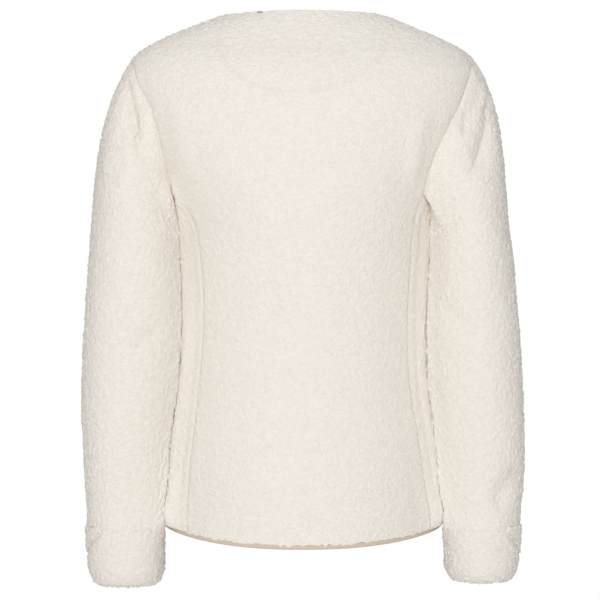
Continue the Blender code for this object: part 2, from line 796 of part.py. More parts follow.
def add_front(side, garment):
    """A front, from its side seam round to the binding at its edge."""
    angles, levels = front_grid(side)
    outer, inner = panel_walls(angles, levels)
    _, mitre, _, back_count, under_count = armhole(side)
    around = np.concatenate([mitre[back_count + under_count - 1 :], mitre[:1]])
    start = len(low_levels()) + len(side_seam_levels()) - 1
    rows = slice(start, start + len(around))
    inner[rows, 0] = outer[rows, 0] - around * WALL
    dip_border(outer, inner, BORDERS["first"][0])
    part_borders(outer, inner, ("bottom", "first", "last"))
    add_wall(f"front_{side}", outer, inner, False, garment)


def add_sleeve(side, garment):
    """A set-in sleeve, from the armhole down into its cuff."""
    outer, inner = sleeve_surface(side)
    shift = border_shift(outer[0], outer[1], outer[0] - inner[0], closed=True)
    outer[0] += shift
    inner[0] += shift
    add_wall(f"sleeve_{side}", outer, inner, True, garment)


def cuff_profile(side, turn):
    """The cuff's section at this turn: how far out of the sleeve's line, and height.

    It runs from the top edge down the outside, past the V, round the fold and up inside.
    """
    from_side = abs((turn + 0.5) % 1 - 0.5)
    inside_v = max(0.0, 1 - from_side / V_HALF_TURN)
    v_height = CUFF_TOP - V_START - V_DROP * inside_v
    step = V_STEP * smooth_step(0.0, 0.25, inside_v)
    bottom = CUFF_BOTTOM[side]
    end = sleeve_end(side) - SEAM_GAP
    lining = SEAM_GAP - UNDER_CUFF
    return (
        (0.0010 + step / 2, CUFF_TOP),
        (0.0024 + step / 2, CUFF_TOP - 0.0030),
        (0.0026 + step / 2, v_height + 0.0010),
        (0.0026 - step, v_height - 0.0010),
        (0.0028, v_height - 0.0070),
        (0.0016, bottom + 0.0190),
        (-0.0005, bottom + 0.0110),
        (-0.0038, bottom + 0.0045),
        (-0.0080, bottom + 0.0008),
        (-0.0115, bottom),
        (-0.0140, bottom + 0.0022),
        (-0.0140, end),
        (lining, end),
        (lining, CUFF_MIDDLE),
        (lining, CUFF_TOP - 0.0030),
        (lining + 0.0015, CUFF_TOP),
    )


def add_cuff(side, garment):
    """A band of fleece over the sleeve's end, its fold closing the sleeve's raw edge."""
    _, _, turns, _, _ = armhole(side)
    rings = []
    for turn in turns:
        ring = []
        for out, height in cuff_profile(side, turn):
            point = sleeve_ring(side, turn, height)
            ring.append(point + ring_outward(side, turn, height) * out)
        rings.append(ring)
    rings = np.array(rings)
    faces = loop_faces(len(rings), rings.shape[1], True)
    add_object(f"cuff_{side}", rings, faces, FLEECE, garment)


# The binding's rounded section: its share through the wall, and of its height.
BINDING_PROFILE = ((0.10, 1.0), (0.90, 1.0), (1.0, 0.45), (0.75, 0.0), (0.25, 0.0), (0.0, 0.45))


def binding_depth(share):
    """The binding is thinner than the fleece and lies midway through it."""
    return (WALL - BINDING_THICKNESS) / 2 + share * BINDING_THICKNESS


def hem_angles():
    """The angle of every panel corner along the hem, from front edge to front edge."""
    level = HEM_LEVEL + BINDING_HEIGHT
    edge = angle_at(FRONT_GAP / 2, level, True)
    right = front_grid("right")[0][0][::-1]
    side_right = side_back_grid("right")[0][0][::-1]
    back = back_grid()[0][0]
    side_left = side_back_grid("left")[0][0]
    left = front_grid("left")[0][0]
    return np.concatenate(
        [[-edge], right[:-1], side_right[:-1], back[:-1], side_left[:-1], left, [edge]]
    )


def add_hem_binding(garment):
    """The narrow binding that closes the hem, from front edge to front edge."""
    angles = hem_angles()
    rings = []
    top = HEM_LEVEL + BINDING_HEIGHT - SEAM_GAP
    for depth_share, height_share in BINDING_PROFILE:
        level = np.full(len(angles), HEM_LEVEL + height_share * (top - HEM_LEVEL))
        points = body_base(angles, level)
        rings.append(points - body_normal(angles, level) * binding_depth(depth_share))
    rings = np.stack(rings, axis=1)
    faces = loop_faces(len(rings), rings.shape[1], False)
    add_object("hem_binding", rings, faces, BEIGE, garment)


def add_front_binding(side, garment):
    """The same binding up a front's edge, from the hem to the neck."""
    levels = front_grid(side)[1][:, 0]
    rings = []
    for depth_share, width_share in BINDING_PROFILE:
        x = SIDES[side] * (FRONT_GAP / 2 + width_share * (BINDING_HEIGHT - SEAM_GAP))
        angles = angle_at(np.full(len(levels), x), levels, True)
        points = body_base(angles, levels)
        rings.append(points - body_normal(angles, levels) * binding_depth(depth_share))
    rings = np.stack(rings, axis=1)
    faces = loop_faces(len(rings), rings.shape[1], False)
    add_object(f"front_binding_{side}", rings, faces, BEIGE, garment)


def add_neck_tape(garment):
    """A narrow tape on the inner face of the neck edge, front edge to front edge."""
    grids = [front_grid("right"), back_grid(), front_grid("left")]
    right, back, left = (grid[0] for grid in grids)
    near = WALL + SEAM_GAP
    far = near + NECK_TAPE_THICKNESS
    rings = []
    for row, level, depth in (
        (-1, NECK_LEVEL - NECK_TAPE_DROP, near),
        (-1, NECK_LEVEL - NECK_TAPE_DROP, far),
        (-2, shoulder_levels()[-2], far),
        (-2, shoulder_levels()[-2], near),
    ):
        angles = np.concatenate([right[row, -2:0:-1], back[row], left[row, 1:-1]])
        level = np.full(len(angles), level)
        rings.append(body_base(angles, level) - body_normal(angles, level) * depth)
    rings = np.stack(rings, axis=1)
    faces = loop_faces(len(rings), rings.shape[1], False)
    add_object("neck_tape", rings, faces, BEIGE, garment)


def main():
    for obj in list(bpy.data.objects):
        bpy.data.objects.remove(obj)
    collection = bpy.data.collections.new(COLLECTION_NAME)
    bpy.context.scene.collection.children.link(collection)
    garment = bpy.data.objects.new(COLLECTION_NAME, None)
    collection.objects.link(garment)
    add_back(garment)
    for side in SIDES:
        add_side_back(side, garment)
        add_front(side, garment)
        add_sleeve(side, garment)
        add_cuff(side, garment)
        add_front_binding(side, garment)
    add_hem_binding(garment)
    add_neck_tape(garment)


main()
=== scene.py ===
"""Looks of the sherpa cardigan: curly fleece over the solids' own shapes.

Metres, +Z up. +X is the wearer's left and the front faces -Y, as in the part.

The tables and the shape functions are the part's own, so each piece of fleece lies on
its solid. Here every piece is divided finely, pressed in along its seams and raised by
its pile. The fleece's knitted inner side, the bindings and the tape are pieces too.
"""

import math

import bmesh
import bpy
import numpy as np
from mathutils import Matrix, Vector


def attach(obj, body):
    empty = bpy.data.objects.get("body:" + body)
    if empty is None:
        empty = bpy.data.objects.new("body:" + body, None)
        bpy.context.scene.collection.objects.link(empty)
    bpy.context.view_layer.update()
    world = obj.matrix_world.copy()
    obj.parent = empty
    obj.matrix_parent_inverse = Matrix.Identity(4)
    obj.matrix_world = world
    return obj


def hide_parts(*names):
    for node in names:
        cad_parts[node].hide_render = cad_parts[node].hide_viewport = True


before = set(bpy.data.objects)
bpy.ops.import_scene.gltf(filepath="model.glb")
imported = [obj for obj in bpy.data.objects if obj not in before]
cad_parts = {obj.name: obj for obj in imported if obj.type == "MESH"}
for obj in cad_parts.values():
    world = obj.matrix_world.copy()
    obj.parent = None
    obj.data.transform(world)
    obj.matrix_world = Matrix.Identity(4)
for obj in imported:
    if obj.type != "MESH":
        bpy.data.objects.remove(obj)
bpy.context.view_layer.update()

# Cloth and seams.
WALL = 0.006
SEAM_GAP = 0.0003
DIP_REACH = 0.007

# Edges. The binding closes the hem and the front edges, the tape lies inside the neck.
BINDING_HEIGHT = 0.006
BINDING_THICKNESS = 0.005
FRONT_GAP = 0.002
FRONT_EDGE = FRONT_GAP / 2 + BINDING_HEIGHT
NECK_TAPE_HEIGHT = 0.011
NECK_TAPE_THICKNESS = 0.0012
NECK_TAPE_DROP = 0.001


def columns(names, *rows):
    """A table's columns by name."""
    return dict(zip(names.split(), np.array(rows).T))


# The body's rings from the hem up to the neck edge. Level is the height at the centre
# of the back, side_z and front_z are the ring's heights at the sides and the front.
# Between the underarm and the shoulder point the ring runs on through the sleeves.
BODY = columns(
    "level   side_z   front_z  left_x  right_x back_y  side_y   front_y  square",
    (-0.6145, -0.6005, -0.6120, 0.1660, 0.1665, 0.1270, -0.0300, -0.1220, 2.25),
    (-0.5650, -0.5575, -0.5640, 0.1655, 0.1665, 0.1250, -0.0300, -0.1210, 2.20),
    (-0.5060, -0.5040, -0.5060, 0.1635, 0.1640, 0.1200, -0.0300, -0.1190, 2.20),
    (-0.4400, -0.4400, -0.4400, 0.1550, 0.1550, 0.1140, -0.0300, -0.1170, 2.15),
    (-0.3650, -0.3650, -0.3650, 0.1500, 0.1525, 0.1090, -0.0300, -0.1160, 2.15),
    (-0.3000, -0.3000, -0.3000, 0.1505, 0.1545, 0.1120, -0.0300, -0.1230, 2.20),
    (-0.2280, -0.2280, -0.2320, 0.1535, 0.1555, 0.1180, -0.0230, -0.1350, 2.40),
    (-0.2020, -0.2080, -0.2120, 0.1620, 0.1625, 0.1190, -0.0180, -0.1365, 2.45),
    (-0.1650, -0.1710, -0.1820, 0.1850, 0.1850, 0.1170, -0.0110, -0.1330, 2.40),
    (-0.1150, -0.1180, -0.1520, 0.2100, 0.2080, 0.1090, -0.0030, -0.1220, 2.35),
    (-0.0570, -0.0490, -0.1160, 0.1990, 0.1985, 0.0900, 0.0000, -0.1060, 2.30),
    (-0.0400, -0.0360, -0.1045, 0.1815, 0.1795, 0.0790, 0.0000, -0.0970, 2.25),
    (-0.0180, -0.0220, -0.0925, 0.1525, 0.1495, 0.0665, 0.0000, -0.0900, 2.15),
    (0.0010, 0.0000, -0.0850, 0.0970, 0.0970, 0.0550, 0.0000, -0.0850, 2.00),
)
HEM_LEVEL = -0.6145
UNDERARM_LEVEL = -0.2280
SHOULDER_LEVEL = -0.0570
NECK_LEVEL = 0.0010

# The back's shaping seams, from the hem to where each one runs into its armhole.
PRINCESS = columns(
    "level   left    right",
    (-0.6145, 0.1335, 0.1450),
    (-0.5508, 0.1318, 0.1395),
    (-0.4940, 0.1262, 0.1328),
    (-0.4372, 0.1205, 0.1237),
    (-0.3690, 0.1148, 0.1203),
    (-0.3123, 0.1159, 0.1226),
    (-0.2670, 0.1205, 0.1258),
    (-0.2330, 0.1318, 0.1310),
)
JUNCTION_LEVEL = -0.2105

# The armhole's upper stretches, between the shoulder point and the turn under the arm.
ARMHOLE_BACK = columns(
    "height  left    right",
    (-0.0490, 0.1990, 0.1985),
    (-0.0690, 0.1938, 0.1948),
    (-0.0920, 0.1866, 0.1885),
    (-0.1100, 0.1760, 0.1810),
    (-0.1340, 0.1690, 0.1675),
    (-0.1630, 0.1618, 0.1535),
    (-0.1860, 0.1570, 0.1445),
    (-0.2050, 0.1515, 0.1395),
    (-0.2180, 0.1495, 0.1370),
)
ARMHOLE_FRONT = columns(
    "height  left    right",
    (-0.0490, 0.1990, 0.1985),
    (-0.0800, 0.1850, 0.1850),
    (-0.1100, 0.1690, 0.1690),
    (-0.1400, 0.1580, 0.1580),
    (-0.1700, 0.1535, 0.1535),
    (-0.2050, 0.1535, 0.1535),
)
FRONT_TURN_LEVEL = -0.2000

# The sleeves below the cap, seen from behind: how far out their outer and inner sides
# lie, and where their centre lies and how far they reach from it, front to back.
SLEEVE = columns(
    "height  left_outer left_inner right_outer right_inner centre_y depth",
    (-0.2600, 0.2480, 0.1460, 0.2418, 0.1490, 0.0260, 0.0620),
    (-0.2940, 0.2500, 0.1450, 0.2458, 0.1490, 0.0310, 0.0580),
    (-0.3290, 0.2525, 0.1445, 0.2483, 0.1485, 0.0335, 0.0545),
    (-0.3645, 0.2545, 0.1450, 0.2515, 0.1475, 0.0345, 0.0530),
    (-0.4000, 0.2565, 0.1467, 0.2538, 0.1480, 0.0350, 0.0525),
    (-0.4350, 0.2575, 0.1496, 0.2558, 0.1496, 0.0350, 0.0520),
    (-0.4700, 0.2575, 0.1544, 0.2568, 0.1538, 0.0350, 0.0500),
    (-0.5060, 0.2555, 0.1585, 0.2578, 0.1580, 0.0355, 0.0475),
    (-0.5415, 0.2539, 0.1608, 0.2568, 0.1614, 0.0360, 0.0450),
    (-0.5770, 0.2510, 0.1626, 0.2528, 0.1640, 0.0370, 0.0425),
    (-0.6350, 0.2480, 0.1620, 0.2485, 0.1650, 0.0370, 0.0410),
    (-0.6670, 0.2475, 0.1615, 0.2480, 0.1655, 0.0360, 0.0405),
)
CAP_HEIGHT = -0.2600

# The way in which the sleeve leaves the armhole. Turn runs from the shoulder point
# over the back to the underarm and up the front. Pull is how long it keeps on.
UNDERARM_TURN = 0.57
CAP_LEAVES = columns(
    "turn  x     y     z      pull",
    (0.00, 0.54, 0.05, -0.84, 1.00),
    (0.12, 0.62, 0.15, -0.77, 1.00),
    (0.25, 0.66, 0.20, -0.71, 1.00),
    (0.38, 0.55, 0.15, -0.80, 0.80),
    (0.50, 0.40, 0.10, -0.90, 0.60),
    (0.62, 0.65, 0.05, -0.70, 0.70),
    (0.75, 0.66, -0.02, -0.72, 1.00),
    (0.88, 0.60, -0.08, -0.79, 1.00),
    (1.00, 0.54, 0.05, -0.84, 1.00),
)

# Folds and drapes as seen from behind or in front: a line from (x0, z0) to (x1, z1)
# bowed sideways by bow, a depth below the surface (a ridge if negative) and a width.
FOLDS = columns(
    "face x0       z0      x1       z1      bow     depth    width",
    (1, 0.1930, -0.0950, 0.1800, -0.1750, 0.0020, 0.0050, 0.0120),
    (1, -0.2060, -0.0750, -0.1840, -0.1400, 0.0000, 0.0050, 0.0110),
    (1, -0.2170, -0.0980, -0.1950, -0.1860, -0.0060, 0.0070, 0.0120),
    (1, -0.1360, -0.1250, -0.1260, -0.2050, 0.0020, -0.0030, 0.0100),
    (1, 0.1450, -0.1100, 0.1340, -0.2000, 0.0000, -0.0020, 0.0120),
    (1, -0.2500, -0.5300, -0.2200, -0.5700, 0.0030, 0.0045, 0.0110),
    (1, 0.1600, -0.3700, 0.2000, -0.3950, 0.0040, 0.0030, 0.0120),
    (1, -0.1600, -0.3400, -0.2020, -0.3700, 0.0040, 0.0030, 0.0120),
    (-1, 0.2150, -0.0950, 0.1860, -0.1750, 0.0050, 0.0045, 0.0100),
    (-1, -0.2080, -0.0900, -0.1850, -0.1800, -0.0050, 0.0045, 0.0100),
    (-1, 0.1620, -0.3600, 0.2250, -0.3850, 0.0060, 0.0050, 0.0120),
    (-1, -0.1640, -0.3500, -0.2280, -0.3800, 0.0060, 0.0050, 0.0120),
    (-1, 0.1250, -0.1500, 0.1150, -0.2300, 0.0030, 0.0030, 0.0110),
    (-1, -0.1270, -0.1450, -0.1120, -0.2250, 0.0030, 0.0030, 0.0110),
)

# Cuffs: turned back over the sleeve's end, with a V on the outer side.
CUFF_TOP = -0.5950
CUFF_BOTTOM = {"left": -0.6655, "right": -0.6610}
CUFF_FOLD = 0.0065
CUFF_MIDDLE = -0.6280
UNDER_CUFF = 0.0040
UNDER_CUFF_RUN = 0.0060
UNDER_CUFF_END = 0.0010
V_START = 0.0046
V_DROP = 0.0305
V_HALF_TURN = 0.165
V_STEP = 0.0020
V_STEP_REACH = 0.25
V_LINE_WIDTH = 0.0022
V_LINE_DEPTH = 0.0005
V_LINE_REACH = 0.15
# How much painted shade lies along the V's line.
V_LINE_SHADE = 0.6

SIDES = {"left": 1.0, "right": -1.0}

# How the solids' own grids are divided, and how their curves are measured.
BACK_COLUMNS = 14
FRONT_COLUMNS = 9
SIDE_SHARES = (0.0, 0.12, 0.37, 0.63, 0.88, 1.0)
LOW_ROWS = 11
BLEND_LEVEL = -0.2750
BLEND_ROWS = (-0.2500, -0.2320)
BACK_ARMHOLE_ROWS = 12
FRONT_TURN_SHARES = (0.67, 0.34, 0.0)
FRONT_ARMHOLE_ROWS = 9
SHOULDER_ROWS = (-0.0400, -0.0240)
SAME = 1e-6
LEVEL_STEP = 0.0005
TURN_STEP = 0.001
LEVEL_SPAN = (UNDERARM_LEVEL - 0.02, SHOULDER_LEVEL + 0.01)
HALVINGS = 40
SPREAD_STEPS = 200
LEAST_MITRE = 0.6

# How finely the fleece, its inner side and the trims are divided.
FLEECE_GAP = 0.00001
BACK_CELL = 0.00154
SIDE_CELL = 0.00160
FRONT_CELL = 0.00205
CAP_ROWS = 108
CAP_SPREAD = 1.1
LOW_CELL = 0.00175
SLEEVE_COLUMNS = 272
INNER_CELL = 0.0065
INNER_CAP_ROWS = 24
INNER_COLUMNS = 60
CUFF_COLUMNS = 190
TRIM_CELL = 0.0025
TRIM_SIDES = 14
THROUGH_POWER = 0.8
ALONG_POWER = 0.5
HEM_STEPS = 4000
FRONT_TRIM_ROWS = 240
NECK_TRIM_ROWS = 260

# Parts that each stretch of the cuff's section is divided into, and how many of the
# stretches can be seen and have pile.
CUFF_PARTS = (3, 14, 2, 5, 20, 6, 5, 4, 3, 2, 2, 2, 6, 6, 2, 2)
CUFF_SEEN = 11

# The pile: nubs and smaller curls in them, clumps of both, and a bend that makes them
# uneven. Low and high are where its hollows and tips lie off the solid's surface.
NUB_SIZE = 0.0040
LEAST_NUB = 0.5
NUB_SPREAD = 0.65
CURL_SIZE = 0.0030
CLUMP_SIZE = 0.0100
BEND_SIZE = 0.0060
BEND = 0.0006
CURL_SHARE = 0.60
CLUMP_SHARE = 0.20
PILE_LOW = -0.0011
PILE_HIGH = 0.0009

# How deep the seams press the fleece in, and how wide each groove is.
SEAM_DEPTH = 0.0005
SEAM_WIDTH = 0.0038
SEAM_UNEVEN = 0.0080
SEAM_LEAST = 0.3
SEAM_VARIES = 1.2
ARMHOLE_DEPTH = 0.0006
ARMHOLE_WIDTH = 0.0045
UNDERARM_SEAM_DEPTH = 0.0010
# At this pressing depth the painted shade along seams, edges, creases and folds is full.
FULL_SHADE_DEPTH = 0.0012
EDGE_ROUND = {"neck": 1.0, "bound": 0.5}
EDGE_ROUND_REACH = 0.0030

# The borders' edges, folded in: how deep each row lies and how far the neck's rows are
# lowered. The hem's tufts hang over its binding, each row by its share of the droop.
RIM = (0.0048, 0.0055, 0.0062)
NECK_RIM = ((0.0042, 0.0003), (0.0054, 0.0011), (0.0062, 0.0030))
HEM_RIM = ((0.0001, 0.40), (0.0004, 0.80), (0.0011, 1.00), (0.0020, 0.70), (0.0030, 0.00))
RIM_DEPTHS = {
    "seam": RIM,
    "armhole": RIM,
    "bound": RIM,
    "neck": [depth for depth, _ in NECK_RIM],
    "hem": [depth for depth, _ in HEM_RIM],
}
HEM_DROOP = 0.0040
HEM_CLUMP = 0.0042
HEM_STRAND = HEM_CLUMP / 2.5
HEM_STRAND_SHARE = 0.4

# The pile lies flatter on the body than on the shoulders and the sleeves, flatter where
# the cloth faces back or front than where it faces sideways, and flattest on the folded
# edges: the bottom, the top, and the first and last side of a panel.
SIDE_LOFT = 0.9
SIDE_FACING = (0.25, 0.80)
BODY_LOFT = 0.62
SHOULDER_LOFT = (-0.0900, -0.0300)
SLEEVE_LOFT_REACH = 0.0300
PANEL_EDGE_LOFT = (0.4, 0.5, 0.3, 0.3)
SLEEVE_EDGE_FLATTENS = 0.7

# Where along its length a fold starts and stops, and how far the cloth faces it.
FOLD_START = (-0.15, 0.2)
FOLD_STOP = (1.15, 0.8)
FOLD_FACING = (0.0, 0.5)
SLEEVE_FOLD_START = 0.0300

# Finer creases than the solids' folds, in the same terms, and how much painted shade
# the sleeve's creases and folds get.
CREASES = columns(
    "face x0       z0      x1       z1      bow     depth    width",
    (1, 0.2035, -0.0780, 0.2000, -0.1020, 0.0000, 0.0030, 0.0070),
    (1, 0.2030, -0.0760, 0.1870, -0.1640, 0.0010, 0.0034, 0.0042),
    (1, 0.1960, -0.0700, 0.1800, -0.1500, 0.0010, -0.0034, 0.0052),
    (1, -0.2060, -0.0600, -0.1830, -0.1440, 0.0040, 0.0034, 0.0036),
    (1, -0.2190, -0.0880, -0.1930, -0.1900, -0.0070, 0.0018, 0.0036),
    (-1, 0.2100, -0.0900, 0.1950, -0.1600, 0.0020, 0.0018, 0.0036),
    (-1, -0.2080, -0.0850, -0.1900, -0.1700, 0.0020, 0.0018, 0.0036),
)
CREASE_SHADE = 0.16
FOLD_SHADE = 0.06

# Outside each shaping seam a line of stitches holds the allowance down, and the cloth
# between them makes a soft ridge.
SHAPING = {
    "left": {"stitch": 0.0120, "depth": 0.0005, "rise": 0.0003},
    "right": {"stitch": 0.0155, "depth": 0.0006, "rise": 0.0003},
}
STITCH_WIDTH = 0.0040
SHAPING_FADE = (-0.205, -0.235)

# The sleeve's fleece laps over the cuff's top edge, apart from the outer side with its
# V, and then goes in under the cuff.
OVER_CUFF = 0.0031
OVER_CUFF_RUN = (CUFF_TOP + 0.0180, CUFF_TOP + 0.0010)
LAP_LENGTH = 0.0095
LAP_FADE = 0.0016
LAP_FADE_START = CUFF_TOP - 0.0010
LAP_TURN_IN = 0.0040
LAP_OUTER = (1.2 * V_HALF_TURN, 0.7 * V_HALF_TURN)
LAP_OUTER_FLATTENS = 0.7
SLEEVE_SKIN_END = CUFF_TOP - 0.0140

# The pile stands up where the sleeve hangs along the body and the two brush: by height,
# where the gap between their solids is narrowest, and how far each one's pile rises.
BRUSH = columns(
    "height  place_y sleeve  body",
    (-0.6080, 0.0260, 0.0000, 0.0000),
    (-0.6010, 0.0260, 0.0000, 0.0035),
    (-0.5930, 0.0260, 0.0000, 0.0085),
    (-0.5850, 0.0260, 0.0012, 0.0100),
    (-0.5750, 0.0260, 0.0030, 0.0090),
    (-0.5600, 0.0260, 0.0048, 0.0055),
    (-0.5400, 0.0250, 0.0054, 0.0030),
    (-0.5000, 0.0230, 0.0047, 0.0021),
    (-0.4600, 0.0200, 0.0049, 0.0021),
    (-0.4000, 0.0200, 0.0054, 0.0021),
    (-0.3600, 0.0180, 0.0050, 0.0021),
    (-0.3200, 0.0170, 0.0041, 0.0021),
    (-0.2800, 0.0130, 0.0031, 0.0021),
    (-0.2500, 0.0160, 0.0037, 0.0021),
    (-0.2330, 0.0240, 0.0050, 0.0021),
    (-0.2150, 0.0300, 0.0046, 0.0022),
    (-0.2060, 0.0330, 0.0026, 0.0020),
    (-0.1970, 0.0360, 0.0000, 0.0010),
    (-0.1900, 0.0400, 0.0000, 0.0000),
)
BRUSH_REACH = {"sleeve": 0.0200, "body": 0.0180}
BRUSH_START = 0.0050
BODY_BRUSH_SHIFT = 0.0170
BRUSH_FACING = (0.2, 0.7)

# Near it the pile leans back and catches the light, and along a line it is painted pale,
# painted light in the shaded wedge between sleeve and body.
BRUSHED = {"sleeve": 0.93, "body": 0.26}
BRUSHED_REACH = 0.0420
BRUSHED_FRONT = (-0.06, -0.02)
BRUSHED_TOP = (-0.16, -0.22)
BRUSHED_LIFT = 0.75
# How strong the painted light is on each piece, and where its line lies.
PAINTED_LIGHT = {"sleeve": 0.85, "body": 0.70}
PAINTED_LIGHT_Y = 0.0080
PAINTED_LIGHT_REACH = 0.0220
PAINTED_LIGHT_TOP = (-0.18, -0.21)
TONE_START = 0.0300

# Where the neck tape's upper edge stands up, and shows behind a dip in the back's edge.
TAPE_PEEK_X = 0.0505
NECK_DIP_X = 0.0455
TAPE_PEEK_WIDTH = 0.0055
TAPE_PEEK = 0.0048
NECK_DIP = 0.0027
NECK_DIP_REACH = 0.0120

# The pressed half moon below the neck: |x / a| ^ p + |(z - z0) / b| ^ p = 1.
MOON_TOP = -0.0205
MOON_DROP = 0.0775
MOON = {"left": (0.0990, 2.40), "right": (0.1010, 1.85)}
MOON_DEPTH = 0.0009
MOON_WIDTH = 0.0030
MOON_FADE = (0.0, 0.12)


def eased(share):
    """A share from 0 to 1 that starts and stops gently."""
    return share * share * (3 - 2 * share)


def spline(knots, values, at):
    """A smooth curve through the values, by cubic stretches between the knots."""
    slopes = np.gradient(values, knots)
    index = np.clip(np.searchsorted(knots, at) - 1, 0, len(knots) - 2)
    width = knots[index + 1] - knots[index]
    share = (at - knots[index]) / width
    rise = eased(share)
    start = width * slopes[index] * share * (1 - share) ** 2
    end = width * slopes[index + 1] * share * share * (share - 1)
    return values[index] * (1 - rise) + values[index + 1] * rise + start + end


def smooth_step(low, high, value):
    """0 at low, 1 at high, and smooth between them."""
    return eased(np.clip((value - low) / (high - low), 0, 1))


def unit(vectors):
    return vectors / np.maximum(np.linalg.norm(vectors, axis=-1, keepdims=True), 1e-12)


def closed_run(values):
    """The values round a closed run, with the first one again at its end."""
    return np.concatenate([values, values[:1]])


def run_along(points, axis=0):
    """Each point's distance along its own row or column from the first point on it."""
    steps = np.linalg.norm(np.diff(points, axis=axis), axis=-1)
    first = np.zeros_like(steps.take([0], axis=axis))
    return np.concatenate([first, np.cumsum(steps, axis=axis)], axis=axis)


def past(points, axis):
    """The step past each point of a closed run, from one neighbour to the other."""
    return np.roll(points, -1, axis=axis) - np.roll(points, 1, axis=axis)


# The body's surface


def half_width(level, to_left):
    """The ring's half width on the wearer's left or right."""
    left = spline(BODY["level"], BODY["left_x"], level)
    right = spline(BODY["level"], BODY["right_x"], level)
    return np.where(to_left, left, right)


def body_base(angle, level):
    """The smooth surface. Angle is 0 at the back's centre and positive to the left."""
    row = {name: spline(BODY["level"], BODY[name], level) for name in BODY}
    sine = np.sin(angle)
    cosine = np.cos(angle)
    power = 2 / row["square"]
    behind = cosine >= 0
    width = np.where(sine >= 0, row["left_x"], row["right_x"])
    depth = np.where(behind, row["back_y"], row["front_y"]) - row["side_y"]
    height = np.where(behind, level, row["front_z"]) - row["side_z"]
    x = width * np.sign(sine) * np.abs(sine) ** power
    y = row["side_y"] + depth * np.abs(cosine) ** power
    z = row["side_z"] + height * cosine**2
    return np.stack([x, y, z], axis=-1)


def body_normal(angle, level):
    """The surface's outward normal, from its two directions at this point."""
    around = body_base(angle + TURN_STEP, level) - body_base(angle - TURN_STEP, level)
    up = body_base(angle, level + LEVEL_STEP) - body_base(angle, level - LEVEL_STEP)
    return unit(np.cross(up, around))


def fold_depth(points, normals, folds=FOLDS):
    """How far the folds push the surface in at these points."""
    depth = np.zeros(points.shape[:-1])
    for face, x0, z0, x1, z1, bow, fold, width in zip(*folds.values()):
        run = np.array([x1 - x0, z1 - z0])
        length = math.hypot(*run)
        offset = np.stack([points[..., 0] - x0, points[..., 2] - z0], axis=-1)
        along = offset @ run / length**2
        across = offset @ np.array([-run[1], run[0]]) / length
        across = across - 4 * bow * along * (1 - along)
        ends = smooth_step(*FOLD_START, along) * smooth_step(*FOLD_STOP, along)
        facing = smooth_step(*FOLD_FACING, normals[..., 1] * face)
        depth += fold * np.exp(-((across / width) ** 2)) * ends * facing
    return depth


def body_outer(angle, level):
    points = body_base(angle, level)
    normals = body_normal(angle, level)
    return points - normals * fold_depth(points, normals)[..., None]


def angle_at(x, level, front=False):
    """The angle whose point on this level has this x."""
    width = half_width(level, x >= 0)
    power = spline(BODY["level"], BODY["square"], level) / 2
    angle = np.arcsin(np.clip(np.abs(x) / width, 0, 1) ** power)
    return np.where(x >= 0, 1, -1) * (np.pi - angle if front else angle)


def level_at(x, height, front):
    """The level whose ring passes through this x and height, by halving."""
    low, high = LEVEL_SPAN
    for _ in range(HALVINGS):
        middle = (low + high) / 2
        reached = body_base(angle_at(x, middle, front), middle)[2]
        low, high = (middle, high) if reached < height else (low, middle)
    return (low + high) / 2


# Seam lines, each as the angle where it crosses a level


def upper_armhole(side, table, front):
    """A function of level: the armhole's angle on the back or on the front."""
    sign = SIDES[side]
    levels = [
        level_at(sign * x, height, front)
        for x, height in zip(table[side][1:], table["height"][1:])
    ]
    levels = np.array([SHOULDER_LEVEL] + levels)[::-1]
    widths = table[side][::-1]

    def armhole_angle(level):
        x = sign * spline(levels, widths, level)
        at_shoulder = sign * np.pi / 2
        return np.where(
            level > SHOULDER_LEVEL - SAME, at_shoulder, angle_at(x, level, front)
        )

    return armhole_angle


ARMHOLE_ANGLE = {
    (side, front): upper_armhole(side, table, front)
    for side in SIDES
    for front, table in ((False, ARMHOLE_BACK), (True, ARMHOLE_FRONT))
}


def princess_angle(side, level):
    """The shaping seam below its junction with the armhole."""
    sign = SIDES[side]
    top = JUNCTION_LEVEL
    top_x = abs(body_base(ARMHOLE_ANGLE[side, False](top), top)[0])
    levels = np.append(PRINCESS["level"], top)
    widths = np.append(PRINCESS[side], top_x)
    return angle_at(sign * spline(levels, widths, level), level)


def back_edge_angle(side, level):
    """The back panel's side: shaping seam, then armhole, then shoulder seam."""
    if level < JUNCTION_LEVEL - SAME:
        return princess_angle(side, level)
    if level < SHOULDER_LEVEL - SAME:
        return ARMHOLE_ANGLE[side, False](level)
    return SIDES[side] * np.pi / 2


def turn_under_arm(side, front, share):
    """Angle and level from the foot of the upper armhole (share 0) to the underarm."""
    start_level = FRONT_TURN_LEVEL if front else JUNCTION_LEVEL
    start_angle = ARMHOLE_ANGLE[side, front](start_level)
    end_angle = SIDES[side] * np.pi / 2
    angle = start_angle + (end_angle - start_angle) * share
    drop = np.sin(share * np.pi / 2)
    return angle, start_level + (UNDERARM_LEVEL - start_level) * drop


